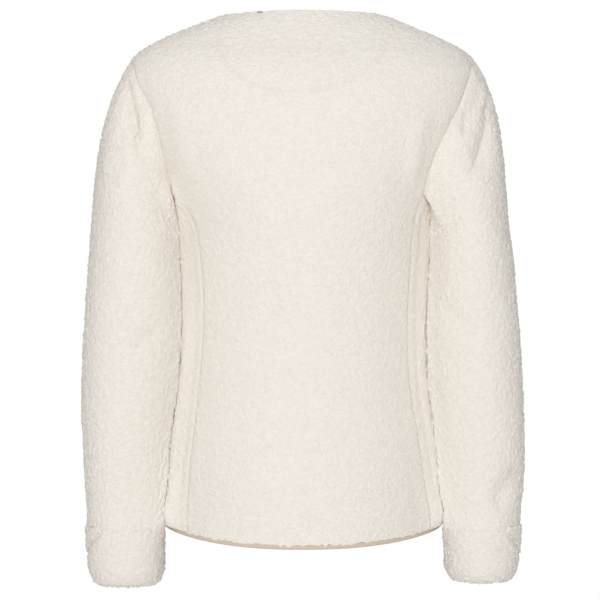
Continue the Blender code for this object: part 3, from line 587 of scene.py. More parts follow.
# The levels of the panels' rows: up from the binding, from the blend of the side panels
# to the junction, along the armholes and over the shoulder to the neck edge. On the
# side seam the blend's levels are squeezed to end at the underarm.
LOW_LEVELS = np.linspace(HEM_LEVEL + BINDING_HEIGHT, BLEND_LEVEL, LOW_ROWS)
BLEND_LEVELS = np.array([*BLEND_ROWS, JUNCTION_LEVEL - DIP_REACH, JUNCTION_LEVEL])
BLEND_SHARES = (BLEND_LEVELS - BLEND_LEVEL) / (JUNCTION_LEVEL - BLEND_LEVEL)
SIDE_SEAM_LEVELS = BLEND_LEVEL + BLEND_SHARES * (UNDERARM_LEVEL - BLEND_LEVEL)
ARMHOLE_LEVELS = np.linspace(JUNCTION_LEVEL, SHOULDER_LEVEL, BACK_ARMHOLE_ROWS)[1:]
FRONT_ARMHOLE_LEVELS = np.linspace(FRONT_TURN_LEVEL, SHOULDER_LEVEL, FRONT_ARMHOLE_ROWS)[1:]
TAPE_LEVEL = NECK_LEVEL - NECK_TAPE_HEIGHT - NECK_TAPE_DROP
SHOULDER_LEVELS = np.array([*SHOULDER_ROWS, TAPE_LEVEL, NECK_LEVEL])
BACK_LEVELS = np.concatenate([LOW_LEVELS, BLEND_LEVELS, ARMHOLE_LEVELS, SHOULDER_LEVELS])


def spread(start, end, level, count):
    """Angles at even distances round a ring, with one near each end for the dip."""
    fine = np.linspace(start, end, SPREAD_STEPS)
    reached = run_along(body_base(fine, level))
    inner = np.linspace(DIP_REACH, reached[-1] - DIP_REACH, count - 1)
    return np.concatenate([[start], np.interp(inner, reached, fine), [end]])


# Each panel's angles and levels, rows up it and columns across it. Panels that share a
# seam share its points.


def back_grid():
    """From the right seam and armhole to the left ones."""
    angles = [
        spread(back_edge_angle("right", level), back_edge_angle("left", level), level,
               BACK_COLUMNS)
        for level in BACK_LEVELS
    ]
    return np.array(angles), np.repeat(BACK_LEVELS[:, None], BACK_COLUMNS + 1, axis=1)


def side_back_grid(side):
    """From the shaping seam to the side seam."""
    shares = np.array(SIDE_SHARES)
    end = SIDES[side] * np.pi / 2
    top_angles, top_levels = turn_under_arm(side, False, shares)
    angles, levels = [], []
    for level in np.append(LOW_LEVELS, BLEND_LEVELS):
        lift = max((level - BLEND_LEVEL) / (JUNCTION_LEVEL - BLEND_LEVEL), 0.0)
        start = princess_angle(side, level)
        angles.append(start + (end - start) * shares)
        levels.append(level + lift * (top_levels - top_levels[0]))
    angles[-1] = top_angles
    return np.array(angles), np.array(levels)


def front_grid(side):
    """From the side seam and armhole to the front edge."""
    sign = SIDES[side]
    rows = [(sign * np.pi / 2, level) for level in np.append(LOW_LEVELS, SIDE_SEAM_LEVELS)]
    rows += [turn_under_arm(side, True, share) for share in FRONT_TURN_SHARES]
    rows += [(ARMHOLE_ANGLE[side, True](level), level) for level in FRONT_ARMHOLE_LEVELS]
    rows += [(sign * np.pi / 2, level) for level in SHOULDER_LEVELS]
    levels = np.array([level for _, level in rows])
    ends = angle_at(np.full(len(rows), sign * FRONT_EDGE), levels, True)
    angles = [
        spread(start, end, level, FRONT_COLUMNS)
        for (start, level), end in zip(rows, ends)
    ]
    return np.array(angles), np.repeat(levels[:, None], FRONT_COLUMNS + 1, axis=1)


def armhole_stations(side):
    """Angle and level of every panel corner round the armhole, from the shoulder
    point down the back, under the arm and up the front."""
    back = [
        (back_edge_angle(side, level), level)
        for level in BACK_LEVELS[::-1]
        if JUNCTION_LEVEL - SAME < level < SHOULDER_LEVEL + SAME
    ]
    under = [turn_under_arm(side, False, share) for share in SIDE_SHARES[1:]]
    front = [turn_under_arm(side, True, share) for share in FRONT_TURN_SHARES]
    for level in FRONT_ARMHOLE_LEVELS[:-1]:
        front.append((ARMHOLE_ANGLE[side, True](level), level))
    angles, levels = np.array(back + under + front, dtype=float).T
    return angles, levels, len(back), len(under)


# Sleeves


def sleeve_ring(side, turn, height):
    """The sleeve below its cap, by the turn round it and the height."""
    row = {name: spline(-SLEEVE["height"], SLEEVE[name], -height) for name in SLEEVE}
    outer, inner = row[f"{side}_outer"], row[f"{side}_inner"]
    centre = (outer + inner) / 2
    half = (outer - inner) / 2
    x = centre + half * np.cos(2 * np.pi * turn)
    y = row["centre_y"] + row["depth"] * np.sin(2 * np.pi * turn)
    return np.stack(np.broadcast_arrays(SIDES[side] * x, y, height), axis=-1)


def ring_outward(side, turn, height):
    """The level direction out of the sleeve at this turn and height."""
    here = sleeve_ring(side, turn, height)
    along = sleeve_ring(side, turn + TURN_STEP, height) - here
    level = np.stack([along[..., 1], -along[..., 0], 0 * along[..., 2]], axis=-1)
    return unit(level) * SIDES[side]


def periodic(table, name, turn):
    """A column of a table that closes on itself after one turn."""
    turns = np.concatenate([table["turn"][-3:-1] - 1, table["turn"], table["turn"][1:3] + 1])
    values = np.concatenate([table[name][-3:-1], table[name], table[name][1:3]])
    return spline(turns, values, turn % 1)


def station_turns(points, back_count, under_count):
    """Each station's turn, by its distance round the armhole."""
    reached = run_along(closed_run(points))
    underarm = back_count + under_count - 1
    half = reached[underarm]
    whole = reached[-1]
    behind = UNDERARM_TURN * reached[:-1] / half
    before = (reached[:-1] - half) / (whole - half)
    before = UNDERARM_TURN + (1 - UNDERARM_TURN) * before
    return np.where(np.arange(len(points)) <= underarm, behind, before)


def leave_directions(side, turns):
    """Which way the sleeve leaves the armhole at these turns."""
    directions = np.stack([periodic(CAP_LEAVES, axis, turns) for axis in "xyz"], axis=-1)
    return unit(directions) * np.array([SIDES[side], 1, 1])


def cap_points(side, turns, start, shares):
    """The cap: each rib leaves the armhole and runs smoothly into the sleeve."""
    end = sleeve_ring(side, turns, np.full(len(turns), CAP_HEIGHT))
    below = sleeve_ring(side, turns, np.full(len(turns), CAP_HEIGHT - LEVEL_STEP))
    reach = np.linalg.norm(end - start, axis=1, keepdims=True)
    pull = periodic(CAP_LEAVES, "pull", turns)[:, None]
    leave = leave_directions(side, turns) * reach * pull
    arrive = unit(below - end) * reach
    share = np.asarray(shares)[..., None]
    rise = eased(share)
    first = share * (1 - share) ** 2
    last = share * share * (share - 1)
    return start * (1 - rise) + end * rise + leave * first + arrive * last


def around_normals(points, outward_from):
    """Normals of a tube of points, rows down it and columns round it."""
    down = np.gradient(points, axis=0)
    normals = unit(np.cross(down, past(points, 1)))
    sign = np.sign(np.sum(normals * (points - outward_from), axis=-1))
    return normals * np.sign(np.sum(sign))


def armhole(side):
    """The armhole's points, the two walls' shared mitre there, and the turns."""
    angles, levels, back_count, under_count = armhole_stations(side)
    points = body_outer(angles, levels)
    turns = station_turns(points, back_count, under_count)
    along = unit(past(points, 0))
    body_side = body_normal(angles, levels)
    sleeve_side = unit(np.cross(leave_directions(side, turns), along)) * SIDES[side]
    agree = np.sum(body_side * sleeve_side, axis=1, keepdims=True)
    mitre = (body_side + sleeve_side) / np.maximum(1 + agree, LEAST_MITRE)
    return points, mitre, turns, back_count, under_count


def sleeve_end(side):
    """The height at which the sleeve ends inside its cuff's fold."""
    return CUFF_BOTTOM[side] + CUFF_FOLD


def beside_v(turn):
    """How far round the sleeve this is from the tip of the cuff's V, in turns."""
    return abs((turn + 0.5) % 1 - 0.5)


def v_edge(turn):
    """1 at the V's tip and 0 outside it, and the height of the V's edge at this turn."""
    inside = np.clip(1 - beside_v(turn) / V_HALF_TURN, 0, 1)
    return inside, CUFF_TOP - V_START - V_DROP * inside


def cuff_profile(side, turn):
    """The cuff's section at this turn: how far out of the sleeve's line, and height.

    It runs from the top edge down the outside, past the V, round the fold and up inside.
    """
    inside_v, v_height = v_edge(turn)
    step = V_STEP * smooth_step(0.0, V_STEP_REACH, inside_v)
    bottom = CUFF_BOTTOM[side]
    end = sleeve_end(side) - SEAM_GAP
    lining = SEAM_GAP - UNDER_CUFF
    return (
        (0.0010 + step / 2, CUFF_TOP),
        (0.0024 + step / 2, CUFF_TOP - 0.0030),
        (0.0026 + step / 2, v_height + 0.0010),
        (0.0026 - step, v_height - 0.0010),
        (0.0028, v_height - 0.0070),
        (0.0016, bottom + 0.0190),
        (-0.0005, bottom + 0.0110),
        (-0.0038, bottom + 0.0045),
        (-0.0080, bottom + 0.0008),
        (-0.0115, bottom),
        (-0.0140, bottom + 0.0022),
        (-0.0140, end),
        (lining, end),
        (lining, CUFF_MIDDLE),
        (lining, CUFF_TOP - 0.0030),
        (lining + 0.0015, CUFF_TOP),
    )


# Fine grids on the part's surfaces


def places(steps, cell):
    """Fractional places along a run of steps, about a cell apart, just clear of each end."""
    reached = np.concatenate([[0], np.cumsum(steps)])
    inset = FLEECE_GAP / 2
    count = round(reached[-1] / cell) + 1
    at = np.linspace(inset, reached[-1] - inset, count)
    return np.interp(at, reached, np.arange(len(reached)))


def between_rows(grid, rows):
    """The grid's values at fractional rows."""
    low = np.minimum(rows.astype(int), len(grid) - 2)
    share = (rows - low).reshape(-1, *[1] * (grid.ndim - 1))
    return grid[low] * (1 - share) + grid[low + 1] * share


def between(grid, rows, columns):
    """The grid's values at fractional rows and columns."""
    fine = between_rows(grid, rows)
    return between_rows(fine.swapaxes(0, 1), columns).swapaxes(0, 1)


# The pile


def mixed(cells, seed):
    """A number from 0 to 1 for each whole-numbered cell, the same on every run."""
    value = cells[..., 0] * 73856093 ^ cells[..., 1] * 19349663 ^ cells[..., 2] * 83492791
    value = (value ^ (seed * 2654435761)) & 0xFFFFFFFF
    for _ in range(2):
        value = ((value ^ (value >> 16)) * 0x45D9F3B) & 0xFFFFFFFF
    return ((value ^ (value >> 16)) & 0xFFFFFF) / 0xFFFFFF


def soft_noise(points, size, seed):
    """Smooth noise from 0 to 1 with features of this size."""
    place = points / size
    cell = np.floor(place).astype(np.int64)
    share = eased(place - cell)
    total = np.zeros(points.shape[:-1])
    for corner in np.ndindex(2, 2, 2):
        weight = np.prod(np.where(np.array(corner) == 1, share, 1 - share), axis=-1)
        total += weight * mixed(cell + np.array(corner), seed)
    return total


def domes(points, size, seed):
    """Round bumps of uneven heights, one about each of a jumble of points, 0 to 1."""
    place = points / size
    cell = np.floor(place).astype(np.int64)
    highest = np.zeros(points.shape[:-1])
    for beside in np.ndindex(3, 3, 3):
        other = cell + np.array(beside) - 1
        gap = 0.0
        for axis in range(3):
            tip = other[..., axis] + mixed(other, seed + axis)
            gap = gap + (place[..., axis] - tip) ** 2
        tall = LEAST_NUB + (1 - LEAST_NUB) * mixed(other, seed + 3)
        highest = np.maximum(highest, tall - gap / NUB_SPREAD)
    return highest


def pile_height(points):
    """The pile's height at these points, 0 in its hollows and 1 at its tips."""
    bend = [soft_noise(points, BEND_SIZE, seed) - 0.5 for seed in (11, 12, 13)]
    bent = points + 2 * BEND * np.stack(bend, axis=-1)
    nubs = domes(bent, NUB_SIZE, 21)
    curls = soft_noise(bent, CURL_SIZE, 31)
    clumps = soft_noise(points, CLUMP_SIZE, 41)
    total = nubs + CURL_SHARE * curls + CLUMP_SHARE * clumps
    return total / (1 + CURL_SHARE + CLUMP_SHARE)


def groove(distance, depth, width):
    return depth * np.exp(-((distance / width) ** 2))


def brush(points, normals, side, on_body):
    """How far the pile stands up where sleeve and body hang side by side, where it is
    brushed, and where it is painted pale as painted light. The body's stretch of it lies
    further back than the sleeve's."""
    height = points[..., 2]
    kind = "body" if on_body else "sleeve"
    rise = np.interp(height, BRUSH["height"], BRUSH[kind])
    place = np.interp(height, BRUSH["height"], BRUSH["place_y"])
    away = points[..., 1] - (place + BODY_BRUSH_SHIFT if on_body else place)
    towards = SIDES[side] if on_body else -SIDES[side]
    facing = smooth_step(*BRUSH_FACING, normals[..., 0] * towards)
    brushed = np.exp(-((away / BRUSHED_REACH) ** 2)) * smooth_step(*BRUSHED_FRONT, away)
    brushed = BRUSHED[kind] * brushed * facing * smooth_step(*BRUSHED_TOP, height)
    # Painted light: a paler colour along a line in the shaded wedge between sleeve and body.
    from_line = points[..., 1] - place - PAINTED_LIGHT_Y
    pale = np.exp(-((from_line / PAINTED_LIGHT_REACH) ** 2)) * smooth_step(*PAINTED_LIGHT_TOP, height)
    pale = PAINTED_LIGHT[kind] * pale * facing
    return rise * np.exp(-((away / BRUSH_REACH[kind]) ** 2)) * facing, brushed, pale


def half_moon(points, normals):
    """How deep the pressed half moon lies at these points of the back."""
    depth = np.zeros(points.shape[:-1])
    x, z = points[..., 0], points[..., 2]
    for side, (width, power) in MOON.items():
        across = np.abs(x / width)
        down = np.maximum(MOON_TOP - z, 0) / MOON_DROP
        shape = (across**power + down**power) ** (1 / power)
        distance = (shape - 1) * np.hypot(x, z - MOON_TOP)
        here = (x * SIDES[side] >= 0) & (normals[..., 1] > 0)
        faded = smooth_step(*MOON_FADE, down)
        depth += np.where(here, groove(distance, MOON_DEPTH, MOON_WIDTH) * faded, 0)
    return depth


# Meshes


def grid_faces(rows, columns, closed=False, looped=False):
    """Quads of a grid, facing outwards where rows run up and columns to the left."""
    corner = np.arange(rows * columns).reshape(rows, columns)
    if closed:
        corner = np.concatenate([corner, corner[:, :1]], axis=1)
    if looped:
        corner = np.concatenate([corner, corner[:1]])
    quads = [corner[:-1, :-1], corner[:-1, 1:], corner[1:, 1:], corner[1:, :-1]]
    return np.stack(quads, axis=-1).reshape(-1, 4)


def add_mesh(name, points, faces, outward, material, slot, node, **attributes):
    """A smooth piece that stands for a node, its faces turned the way outward points.

    Each attribute has a value for every point. "rim" is 1 on the folded-in borders,
    whose faces don't share their shading with the rest.
    """
    points = points.reshape(-1, 3)
    corners = points[faces]
    across = np.cross(corners[:, 2] - corners[:, 0], corners[:, 3] - corners[:, 1])
    outward = outward.reshape(-1, 3)[faces[:, 0]]
    if np.sum(across * outward) < 0:
        faces = faces[:, ::-1]
    mesh = bpy.data.meshes.new(name)
    mesh.from_pydata(points.tolist(), [], faces.tolist())
    mesh.materials.append(material)
    mesh.shade_smooth()
    rim = attributes.pop("rim", None)
    if rim is not None:
        sharp = rim.reshape(-1)[faces].max(axis=1) > 0
        mesh.polygons.foreach_set("use_smooth", ~sharp)
    for label, values in attributes.items():
        layer = mesh.attributes.new(label, "FLOAT", "POINT")
        layer.data.foreach_set("value", values.reshape(-1).astype(np.float32))
    piece = bpy.data.objects.new(name, mesh)
    bpy.context.scene.collection.objects.link(piece)
    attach(piece, "root")
    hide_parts(node)
    return piece


def side_loft(lean):
    """How much higher the pile stands where the cloth faces sideways or up."""
    flat = smooth_step(*SIDE_FACING, np.abs(unit(lean)[..., 1]))
    return 1 + SIDE_LOFT * (1 - flat)


def pile_rise(smooth, lean, loft):
    """The pile's height, 0 to 1, and how far it raises the skin."""
    fur = pile_height(smooth)
    return fur, (PILE_LOW + (PILE_HIGH - PILE_LOW) * fur) * loft * side_loft(lean)


def add_fleece(name, smooth, outward, lean, sunk, loft, rim, tones, closed=False):
    """Fleece on a smooth grid: pushed in along lean by sunk, raised by loft of pile."""
    fur, rise = pile_rise(smooth, lean, loft)
    points = smooth + lean * (rise - sunk)[..., None]
    faces = grid_faces(*smooth.shape[:2], closed)
    return add_mesh(f"{name}_fleece", points, faces, outward, SHERPA, "sherpa", name,
                    pile=fur, rim=rim, **tones)


def add_inside(name, smooth, lean, closed=False):
    """The fleece's knitted inner side, one thickness of cloth inside its face."""
    points = smooth - lean * WALL
    faces = grid_faces(*smooth.shape[:2], closed)
    return add_mesh(f"{name}_inside", points, faces, -lean, KNIT, "sherpa", name)


# Body panels


def pad(values, counts):
    """Repeats a grid's borders, bottom, top, first and last, so many times each."""
    bottom, top, first, last = counts
    widths = [(bottom, top), (first, last)] + [(0, 0)] * (values.ndim - 2)
    return np.pad(values, widths, mode="edge")


def padded(tones, counts):
    """Named grids, each with its borders repeated."""
    return {name: pad(values, counts) for name, values in tones.items()}


def borders(grid, counts):
    """The padded rows and columns of a grid: its bottom, top, first and last border."""
    bottom, top, first, last = counts
    rows, columns = grid.shape[:2]
    return grid[:bottom], grid[rows - top :], grid[:, :first], grid[:, columns - last :]


def panel_grid(grid, lean_change, cell):
    """A panel's fine angles and levels, with the change of lean along its armhole."""
    angles, levels = grid
    points = body_base(angles, levels)
    down = np.linalg.norm(np.diff(points, axis=0), axis=2).mean(axis=1)
    across = np.linalg.norm(np.diff(points, axis=1), axis=2).mean(axis=0)
    rows, columns = places(down, cell), places(across, cell)
    return [between(values, rows, columns) for values in (angles, levels, lean_change)]


def border_press(kind, distance, points):
    """How deep a border of this kind presses the fleece in at this distance from it."""
    if kind == "seam":
        uneven = SEAM_LEAST + SEAM_VARIES * soft_noise(points, SEAM_UNEVEN, 61)
        return groove(distance, SEAM_DEPTH, SEAM_WIDTH) * uneven
    if kind == "armhole":
        return groove(distance, ARMHOLE_DEPTH, ARMHOLE_WIDTH)
    if kind in EDGE_ROUND:
        short = np.clip(1 - distance / EDGE_ROUND_REACH, 0, 1)
        return EDGE_ROUND_REACH * (1 - np.sqrt(1 - short**2)) * EDGE_ROUND[kind]
    return np.zeros_like(distance)


def tape_peek(points, x=TAPE_PEEK_X):
    """1 where the neck tape shows behind the back's edge, falling to 0 on both sides."""
    near = np.exp(-(((points[..., 0] - x) / TAPE_PEEK_WIDTH) ** 4))
    return near * (points[..., 1] > 0)


def body_loft(points):
    """How high the body's pile stands, as a share of the sleeves'."""
    return BODY_LOFT + (1 - BODY_LOFT) * smooth_step(*SHOULDER_LOFT, points[..., 2])


def panel_fleece(name, grid, lean_change, cell, kinds, extra=None):
    """A body panel. Kinds says what its bottom, top, first and last borders are, the
    bottom being always the hem.

    Extra, if given, adds to the pressing, which also gets painted shade: a function of
    points, normals and the distances from the first border.
    """
    angles, levels, change = panel_grid(grid, lean_change, cell)
    points = body_base(angles, levels)
    normals = body_normal(angles, levels)
    up, across = run_along(points), run_along(points, 1)
    distances = (up, up[-1:] - up, across, across[:, -1:] - across)
    edge = np.zeros_like(up)
    for kind, distance in zip(kinds, distances):
        edge = np.maximum(edge, border_press(kind, distance, points))
    if extra:
        edge = edge + extra(points, normals, across)
    sunk = fold_depth(points, normals) + fold_depth(points, normals, CREASES)
    sunk += edge
    brushed, pale = 0, 0
    for side in SIDES:
        rise, more_brushed, more_pale = brush(points, normals, side, True)
        if kinds[1] == "armhole":
            rise = rise * smooth_step(0, BRUSH_START, distances[1])
        sunk -= rise
        brushed = brushed + more_brushed
        pale = pale + more_pale
    # Painted shade where the fleece is pressed in, and painted light on the pale line.
    tones = {
        "pressed": np.clip(edge / FULL_SHADE_DEPTH, 0, 1),
        "brushed": brushed,
        "pale": pale,
    }
    bottom, top, first, last = (np.array(RIM_DEPTHS[kind]) for kind in kinds)
    counts = [len(bottom), len(top), len(first), len(last)]
    angles, levels, change, sunk, loft = (
        pad(values, counts) for values in (angles, levels, change, sunk, body_loft(points))
    )
    depths = (bottom[::-1, None], top[:, None], first[::-1], last)
    for border, depth in zip(borders(sunk, counts), depths):
        border[:] = np.maximum(border, depth)
    if kinds[1] == "neck":
        dip = NECK_DIP * tape_peek(body_base(angles[-1], levels[-1]), NECK_DIP_X)
        levels -= dip * smooth_step(NECK_LEVEL - NECK_DIP_REACH, NECK_LEVEL, levels)
        levels[-len(top) :] -= np.array(NECK_RIM)[:, 1:]
    hem = body_base(angles[0], levels[0])
    ragged = soft_noise(hem, HEM_CLUMP, 51) ** 2
    ragged += HEM_STRAND_SHARE * soft_noise(hem, HEM_STRAND, 52) ** 2
    levels[: len(bottom)] -= HEM_DROOP * ragged * np.array(HEM_RIM)[::-1, 1:]
    for border, share in zip(borders(loft, counts), PANEL_EDGE_LOFT):
        border *= share
    rim = np.zeros_like(sunk)
    for border in borders(rim, counts)[2:]:
        border[:] = 1
    smooth = body_base(angles, levels)
    outward = body_normal(angles, levels)
    lean = outward + change
    return add_fleece(name, smooth, outward, lean, sunk, loft, rim, padded(tones, counts))


def panel_inside(name, grid, lean_change):
    angles, levels, change = panel_grid(grid, lean_change, INNER_CELL)
    return add_inside(name, body_outer(angles, levels), body_normal(angles, levels) + change)


def rows_on_armhole(levels):
    """The back's rows that end on the armhole."""
    low = JUNCTION_LEVEL - SAME
    return np.nonzero((levels > low) & (levels < SHOULDER_LEVEL + SAME))[0]


def no_change(grid):
    return np.zeros((*grid[0].shape, 3))


def back_lean(grid):
    """How the lean of the back's wall changes along its armholes."""
    angles, levels = grid
    change = no_change(grid)
    rows = rows_on_armhole(levels[:, 0])
    normals = body_normal(angles, levels)
    for side, column in (("left", -1), ("right", 0)):
        _, mitre, _, back_count, _ = armhole(side)
        change[rows, column] = mitre[:back_count][::-1] - normals[rows, column]
    return change


def side_back_lean(side, grid):
    """The same along the top of a side back, which runs under the arm."""
    angles, levels = grid
    change = no_change(grid)
    _, mitre, _, back_count, under_count = armhole(side)
    under = mitre[back_count - 1 : back_count + under_count]
    change[-1] = under - body_normal(angles[-1], levels[-1])
    return change


def front_lean(side, grid):
    """The same up the armhole of a front."""
    angles, levels = grid
    change = no_change(grid)
    _, mitre, _, back_count, under_count = armhole(side)
    around = np.concatenate([mitre[back_count + under_count - 1 :], mitre[:1]])
    start = len(LOW_LEVELS) + len(SIDE_SEAM_LEVELS) - 1
    rows = slice(start, start + len(around))
    change[rows, 0] = around - body_normal(angles[rows, 0], levels[rows, 0])
    return change


def add_back():
    name, grid = "back_panel", back_grid()
    change = back_lean(grid)

    def pressed(points, normals, from_first):
        return half_moon(points, normals)

    kinds = ("hem", "neck", "seam", "seam")
    fleece = panel_fleece(name, grid, change, BACK_CELL, kinds, pressed)
    inside = panel_inside(name, grid, change)


def add_side_back(side):
    grid = side_back_grid(side)
    change = side_back_lean(side, grid)
    shaping = SHAPING[side]

    def pressed(points, normals, from_first):
        stitch = shaping["stitch"]
        stitched = groove(from_first - stitch, shaping["depth"], STITCH_WIDTH)
        raised = groove(from_first - stitch / 2, shaping["rise"], stitch / 3)
        faded = smooth_step(*SHAPING_FADE, points[..., 2])
        return (stitched - raised) * faded

    kinds = ("hem", "armhole", "seam", "seam")
    name = f"side_back_{side}"
    fleece = panel_fleece(name, grid, change, SIDE_CELL, kinds, pressed)
    inside = panel_inside(name, grid, change)


def add_front(side):
    grid = front_grid(side)
    change = front_lean(side, grid)
    kinds = ("hem", "neck", "seam", "bound")
    name = f"front_{side}"
    fleece = panel_fleece(name, grid, change, FRONT_CELL, kinds)
    inside = panel_inside(name, grid, change)


# Sleeves and cuffs


def sleeve_grid(side, cap_rows, low_cell, columns, end):
    """A sleeve's smooth points with their normals, lean, turn and way from the armhole."""
    angles, levels, _, _ = armhole_stations(side)
    coarse, mitre, turns, _, _ = armhole(side)
    reached = run_along(closed_run(coarse))
    at = np.linspace(0, reached[-1], columns, endpoint=False)
    at = np.interp(at, reached, np.arange(len(reached)))
    angle, level, lean = (
        between_rows(closed_run(values), at) for values in (angles, levels, mitre)
    )
    turn = between_rows(np.append(turns, 1.0), at)
    start = body_outer(angle, level)
    shares = np.linspace(0, 1, cap_rows)[:, None] ** CAP_SPREAD
    first = FLEECE_GAP / 2 / np.linalg.norm(coarse[0] - sleeve_ring(side, 0.0, CAP_HEIGHT))
    cap = cap_points(side, turn, start, first + (1 - first) * shares)
    heights = np.arange(CAP_HEIGHT - low_cell, end - low_cell / 2, -low_cell)
    low = np.array([sleeve_ring(side, turn, np.full(columns, z)) for z in heights])
    points = np.concatenate([cap, low])
    normals = around_normals(points, points.mean(axis=1, keepdims=True))
    way = run_along(points)
    near = np.clip(1 - way / DIP_REACH, 0, 1)[..., None]
    return points, normals, normals + (lean - normals) * near, turn, way


def sleeve_folds(points, normals, way):
    """How far the folds and creases press a sleeve in, and the creases alone."""
    started = smooth_step(0, SLEEVE_FOLD_START, way)
    creases = fold_depth(points, normals, CREASES) * started
    return fold_depth(points, normals) * started + creases, creases


def sleeve_fleece(side):
    points, normals, lean, turn, way = sleeve_grid(
        side, CAP_ROWS, LOW_CELL, SLEEVE_COLUMNS, SLEEVE_SKIN_END
    )
    height = points[..., 2]
    from_seam = (turn - UNDERARM_TURN) * run_along(points, 1)[:, -1:]
    edge = groove(way, ARMHOLE_DEPTH, ARMHOLE_WIDTH)
    folds, creases = sleeve_folds(points, normals, way)
    sunk = folds + edge
    sunk += groove(from_seam, UNDERARM_SEAM_DEPTH, SEAM_WIDTH)
    rise, brushed, pale = brush(points, normals, side, False)
    sunk -= rise * smooth_step(0, BRUSH_START, way)
    outer = smooth_step(*LAP_OUTER, beside_v(turn))
    lap = OVER_CUFF * (1 - LAP_OUTER_FLATTENS * outer)
    lap_end = CUFF_TOP - LAP_LENGTH * (1 - outer)
    sunk -= lap * smooth_step(*OVER_CUFF_RUN, height)
    sunk += LAP_FADE * smooth_step(LAP_FADE_START, CUFF_TOP - LAP_LENGTH, height)
    sunk += (UNDER_CUFF + lap) * smooth_step(lap_end, lap_end - LAP_TURN_IN, height)
    loft = body_loft(points)
    loft = loft + (1 - loft) * smooth_step(0, SLEEVE_LOFT_REACH, way)
    # Painted shade in the armhole groove, the creases and the folds, and painted light on the
    # pale line.
    shade_depth = edge + CREASE_SHADE * creases + FOLD_SHADE * (folds - creases)
    tones = {
        "pressed": np.clip(shade_depth / FULL_SHADE_DEPTH, 0, 1),
        "brushed": brushed * smooth_step(0, TONE_START, way),
        "pale": pale * smooth_step(0, TONE_START, way),
    }
    counts = (len(RIM), 0, 0, 0)
    points, normals, lean, sunk, loft = (
        pad(values, counts) for values in (points, normals, lean, sunk, loft)
    )
    sunk[: len(RIM)] = np.array(RIM)[::-1, None]
    rim = np.zeros_like(sunk)
    rim[: len(RIM)] = 1
    loft = loft * (1 - SLEEVE_EDGE_FLATTENS * rim)
    name = f"sleeve_{side}"
    tones = padded(tones, counts)
    return add_fleece(name, points, normals, lean, sunk, loft, rim, tones, True)


def sleeve_inside(side):
    points, normals, lean, _, way = sleeve_grid(
        side, INNER_CAP_ROWS, INNER_CELL, INNER_COLUMNS, sleeve_end(side)
    )
    under = UNDER_CUFF * smooth_step(
        CUFF_TOP + UNDER_CUFF_RUN, CUFF_TOP - UNDER_CUFF_END, points[..., 2]
    )
    under += sleeve_folds(points, normals, way)[0]
    return add_inside(f"sleeve_{side}", points - normals * under[..., None], lean, True)


def add_sleeve(side):
    fleece = sleeve_fleece(side)
    inside = sleeve_inside(side)


def add_cuff(side):
    turns = np.linspace(0, 1, CUFF_COLUMNS, endpoint=False)
    name = f"cuff_{side}"
    sections = np.array([cuff_profile(side, turn) for turn in turns])
    following = np.roll(sections, -1, axis=1)
    rings = [
        sections[:, index] * (1 - step / parts) + following[:, index] * (step / parts)
        for index, parts in enumerate(CUFF_PARTS)
        for step in range(parts)
    ]
    out, height = np.moveaxis(np.array(rings), -1, 0)
    base = sleeve_ring(side, turns[None, :], height)
    outward = ring_outward(side, np.broadcast_to(turns, height.shape), height)
    smooth = base + outward * out[..., None]
    normals = unit(np.cross(past(smooth, 0), past(smooth, 1)))
    seen = sum(CUFF_PARTS[:CUFF_SEEN])
    if np.sum(normals[:seen] * outward[:seen]) < 0:
        normals = -normals
    loft = np.zeros(height.shape)
    loft[:seen] = 1.0
    fur, rise = pile_rise(smooth, normals, loft)
    inside_v, v_height = v_edge(turns)
    line = np.exp(-(((height - v_height) / V_LINE_WIDTH) ** 2))
    line = line * smooth_step(0, V_LINE_REACH, inside_v)
    points = smooth + normals * (rise - V_LINE_DEPTH * line)[..., None]
    faces = grid_faces(*smooth.shape[:2], closed=True, looped=True)
    # Painted shade along the V's line.
    piece = add_mesh(name + "_fleece", points, faces, normals, SHERPA, "sherpa", name,
                     pile=fur, pressed=line * V_LINE_SHADE, brushed=0 * fur, pale=0 * fur)


# Bindings and tape


def binding_depth(share):
    """The binding is thinner than the fleece and lies midway through it."""
    return (WALL - BINDING_THICKNESS) / 2 + share * BINDING_THICKNESS


def at_depth(angles, levels, depth):
    """Points this far inside the body's smooth surface."""
    return body_base(angles, levels) - body_normal(angles, levels) * depth


def swept(name, rings, material, node):
    """A closed bar along rings of points, capped at both ends."""
    faces = grid_faces(*rings.shape[:2], closed=True)
    outward = rings - rings.mean(axis=1, keepdims=True)
    mesh = add_mesh(name, rings, faces, outward, material, "binding", node).data
    edit = bmesh.new()
    edit.from_mesh(mesh)
    ends = [edge for edge in edit.edges if edge.is_boundary]
    bmesh.ops.holes_fill(edit, edges=ends, sides=0)
    bmesh.ops.recalc_face_normals(edit, faces=edit.faces)
    edit.to_mesh(mesh)
    edit.free()


def round_section():
    """A rounded section: shares through the wall and of the height or width."""
    turns = np.linspace(0, 2 * np.pi, TRIM_SIDES, endpoint=False)
    cosine, sine = np.cos(turns), np.sin(turns)
    through = 0.5 + 0.5 * np.sign(cosine) * np.abs(cosine) ** THROUGH_POWER
    along = 0.5 + 0.5 * np.sign(sine) * np.abs(sine) ** ALONG_POWER
    return zip(through, along)


def add_hem_binding():
    """It lies at even steps round the hem, from one front edge to the other."""
    seam = HEM_LEVEL + BINDING_HEIGHT
    edge = float(angle_at(FRONT_GAP / 2, seam, True))
    fine = np.linspace(-edge, edge, HEM_STEPS)
    reached = run_along(body_base(fine, np.full(HEM_STEPS, seam)))
    angles = np.interp(np.arange(0, reached[-1], TRIM_CELL), reached, fine)
    rings = []
    for through, along in round_section():
        level = HEM_LEVEL + along * (seam - SEAM_GAP - HEM_LEVEL)
        rings.append(at_depth(angles, np.full(len(angles), level), binding_depth(through)))
    swept("hem_binding_tape", np.stack(rings, axis=1), BINDING, "hem_binding")


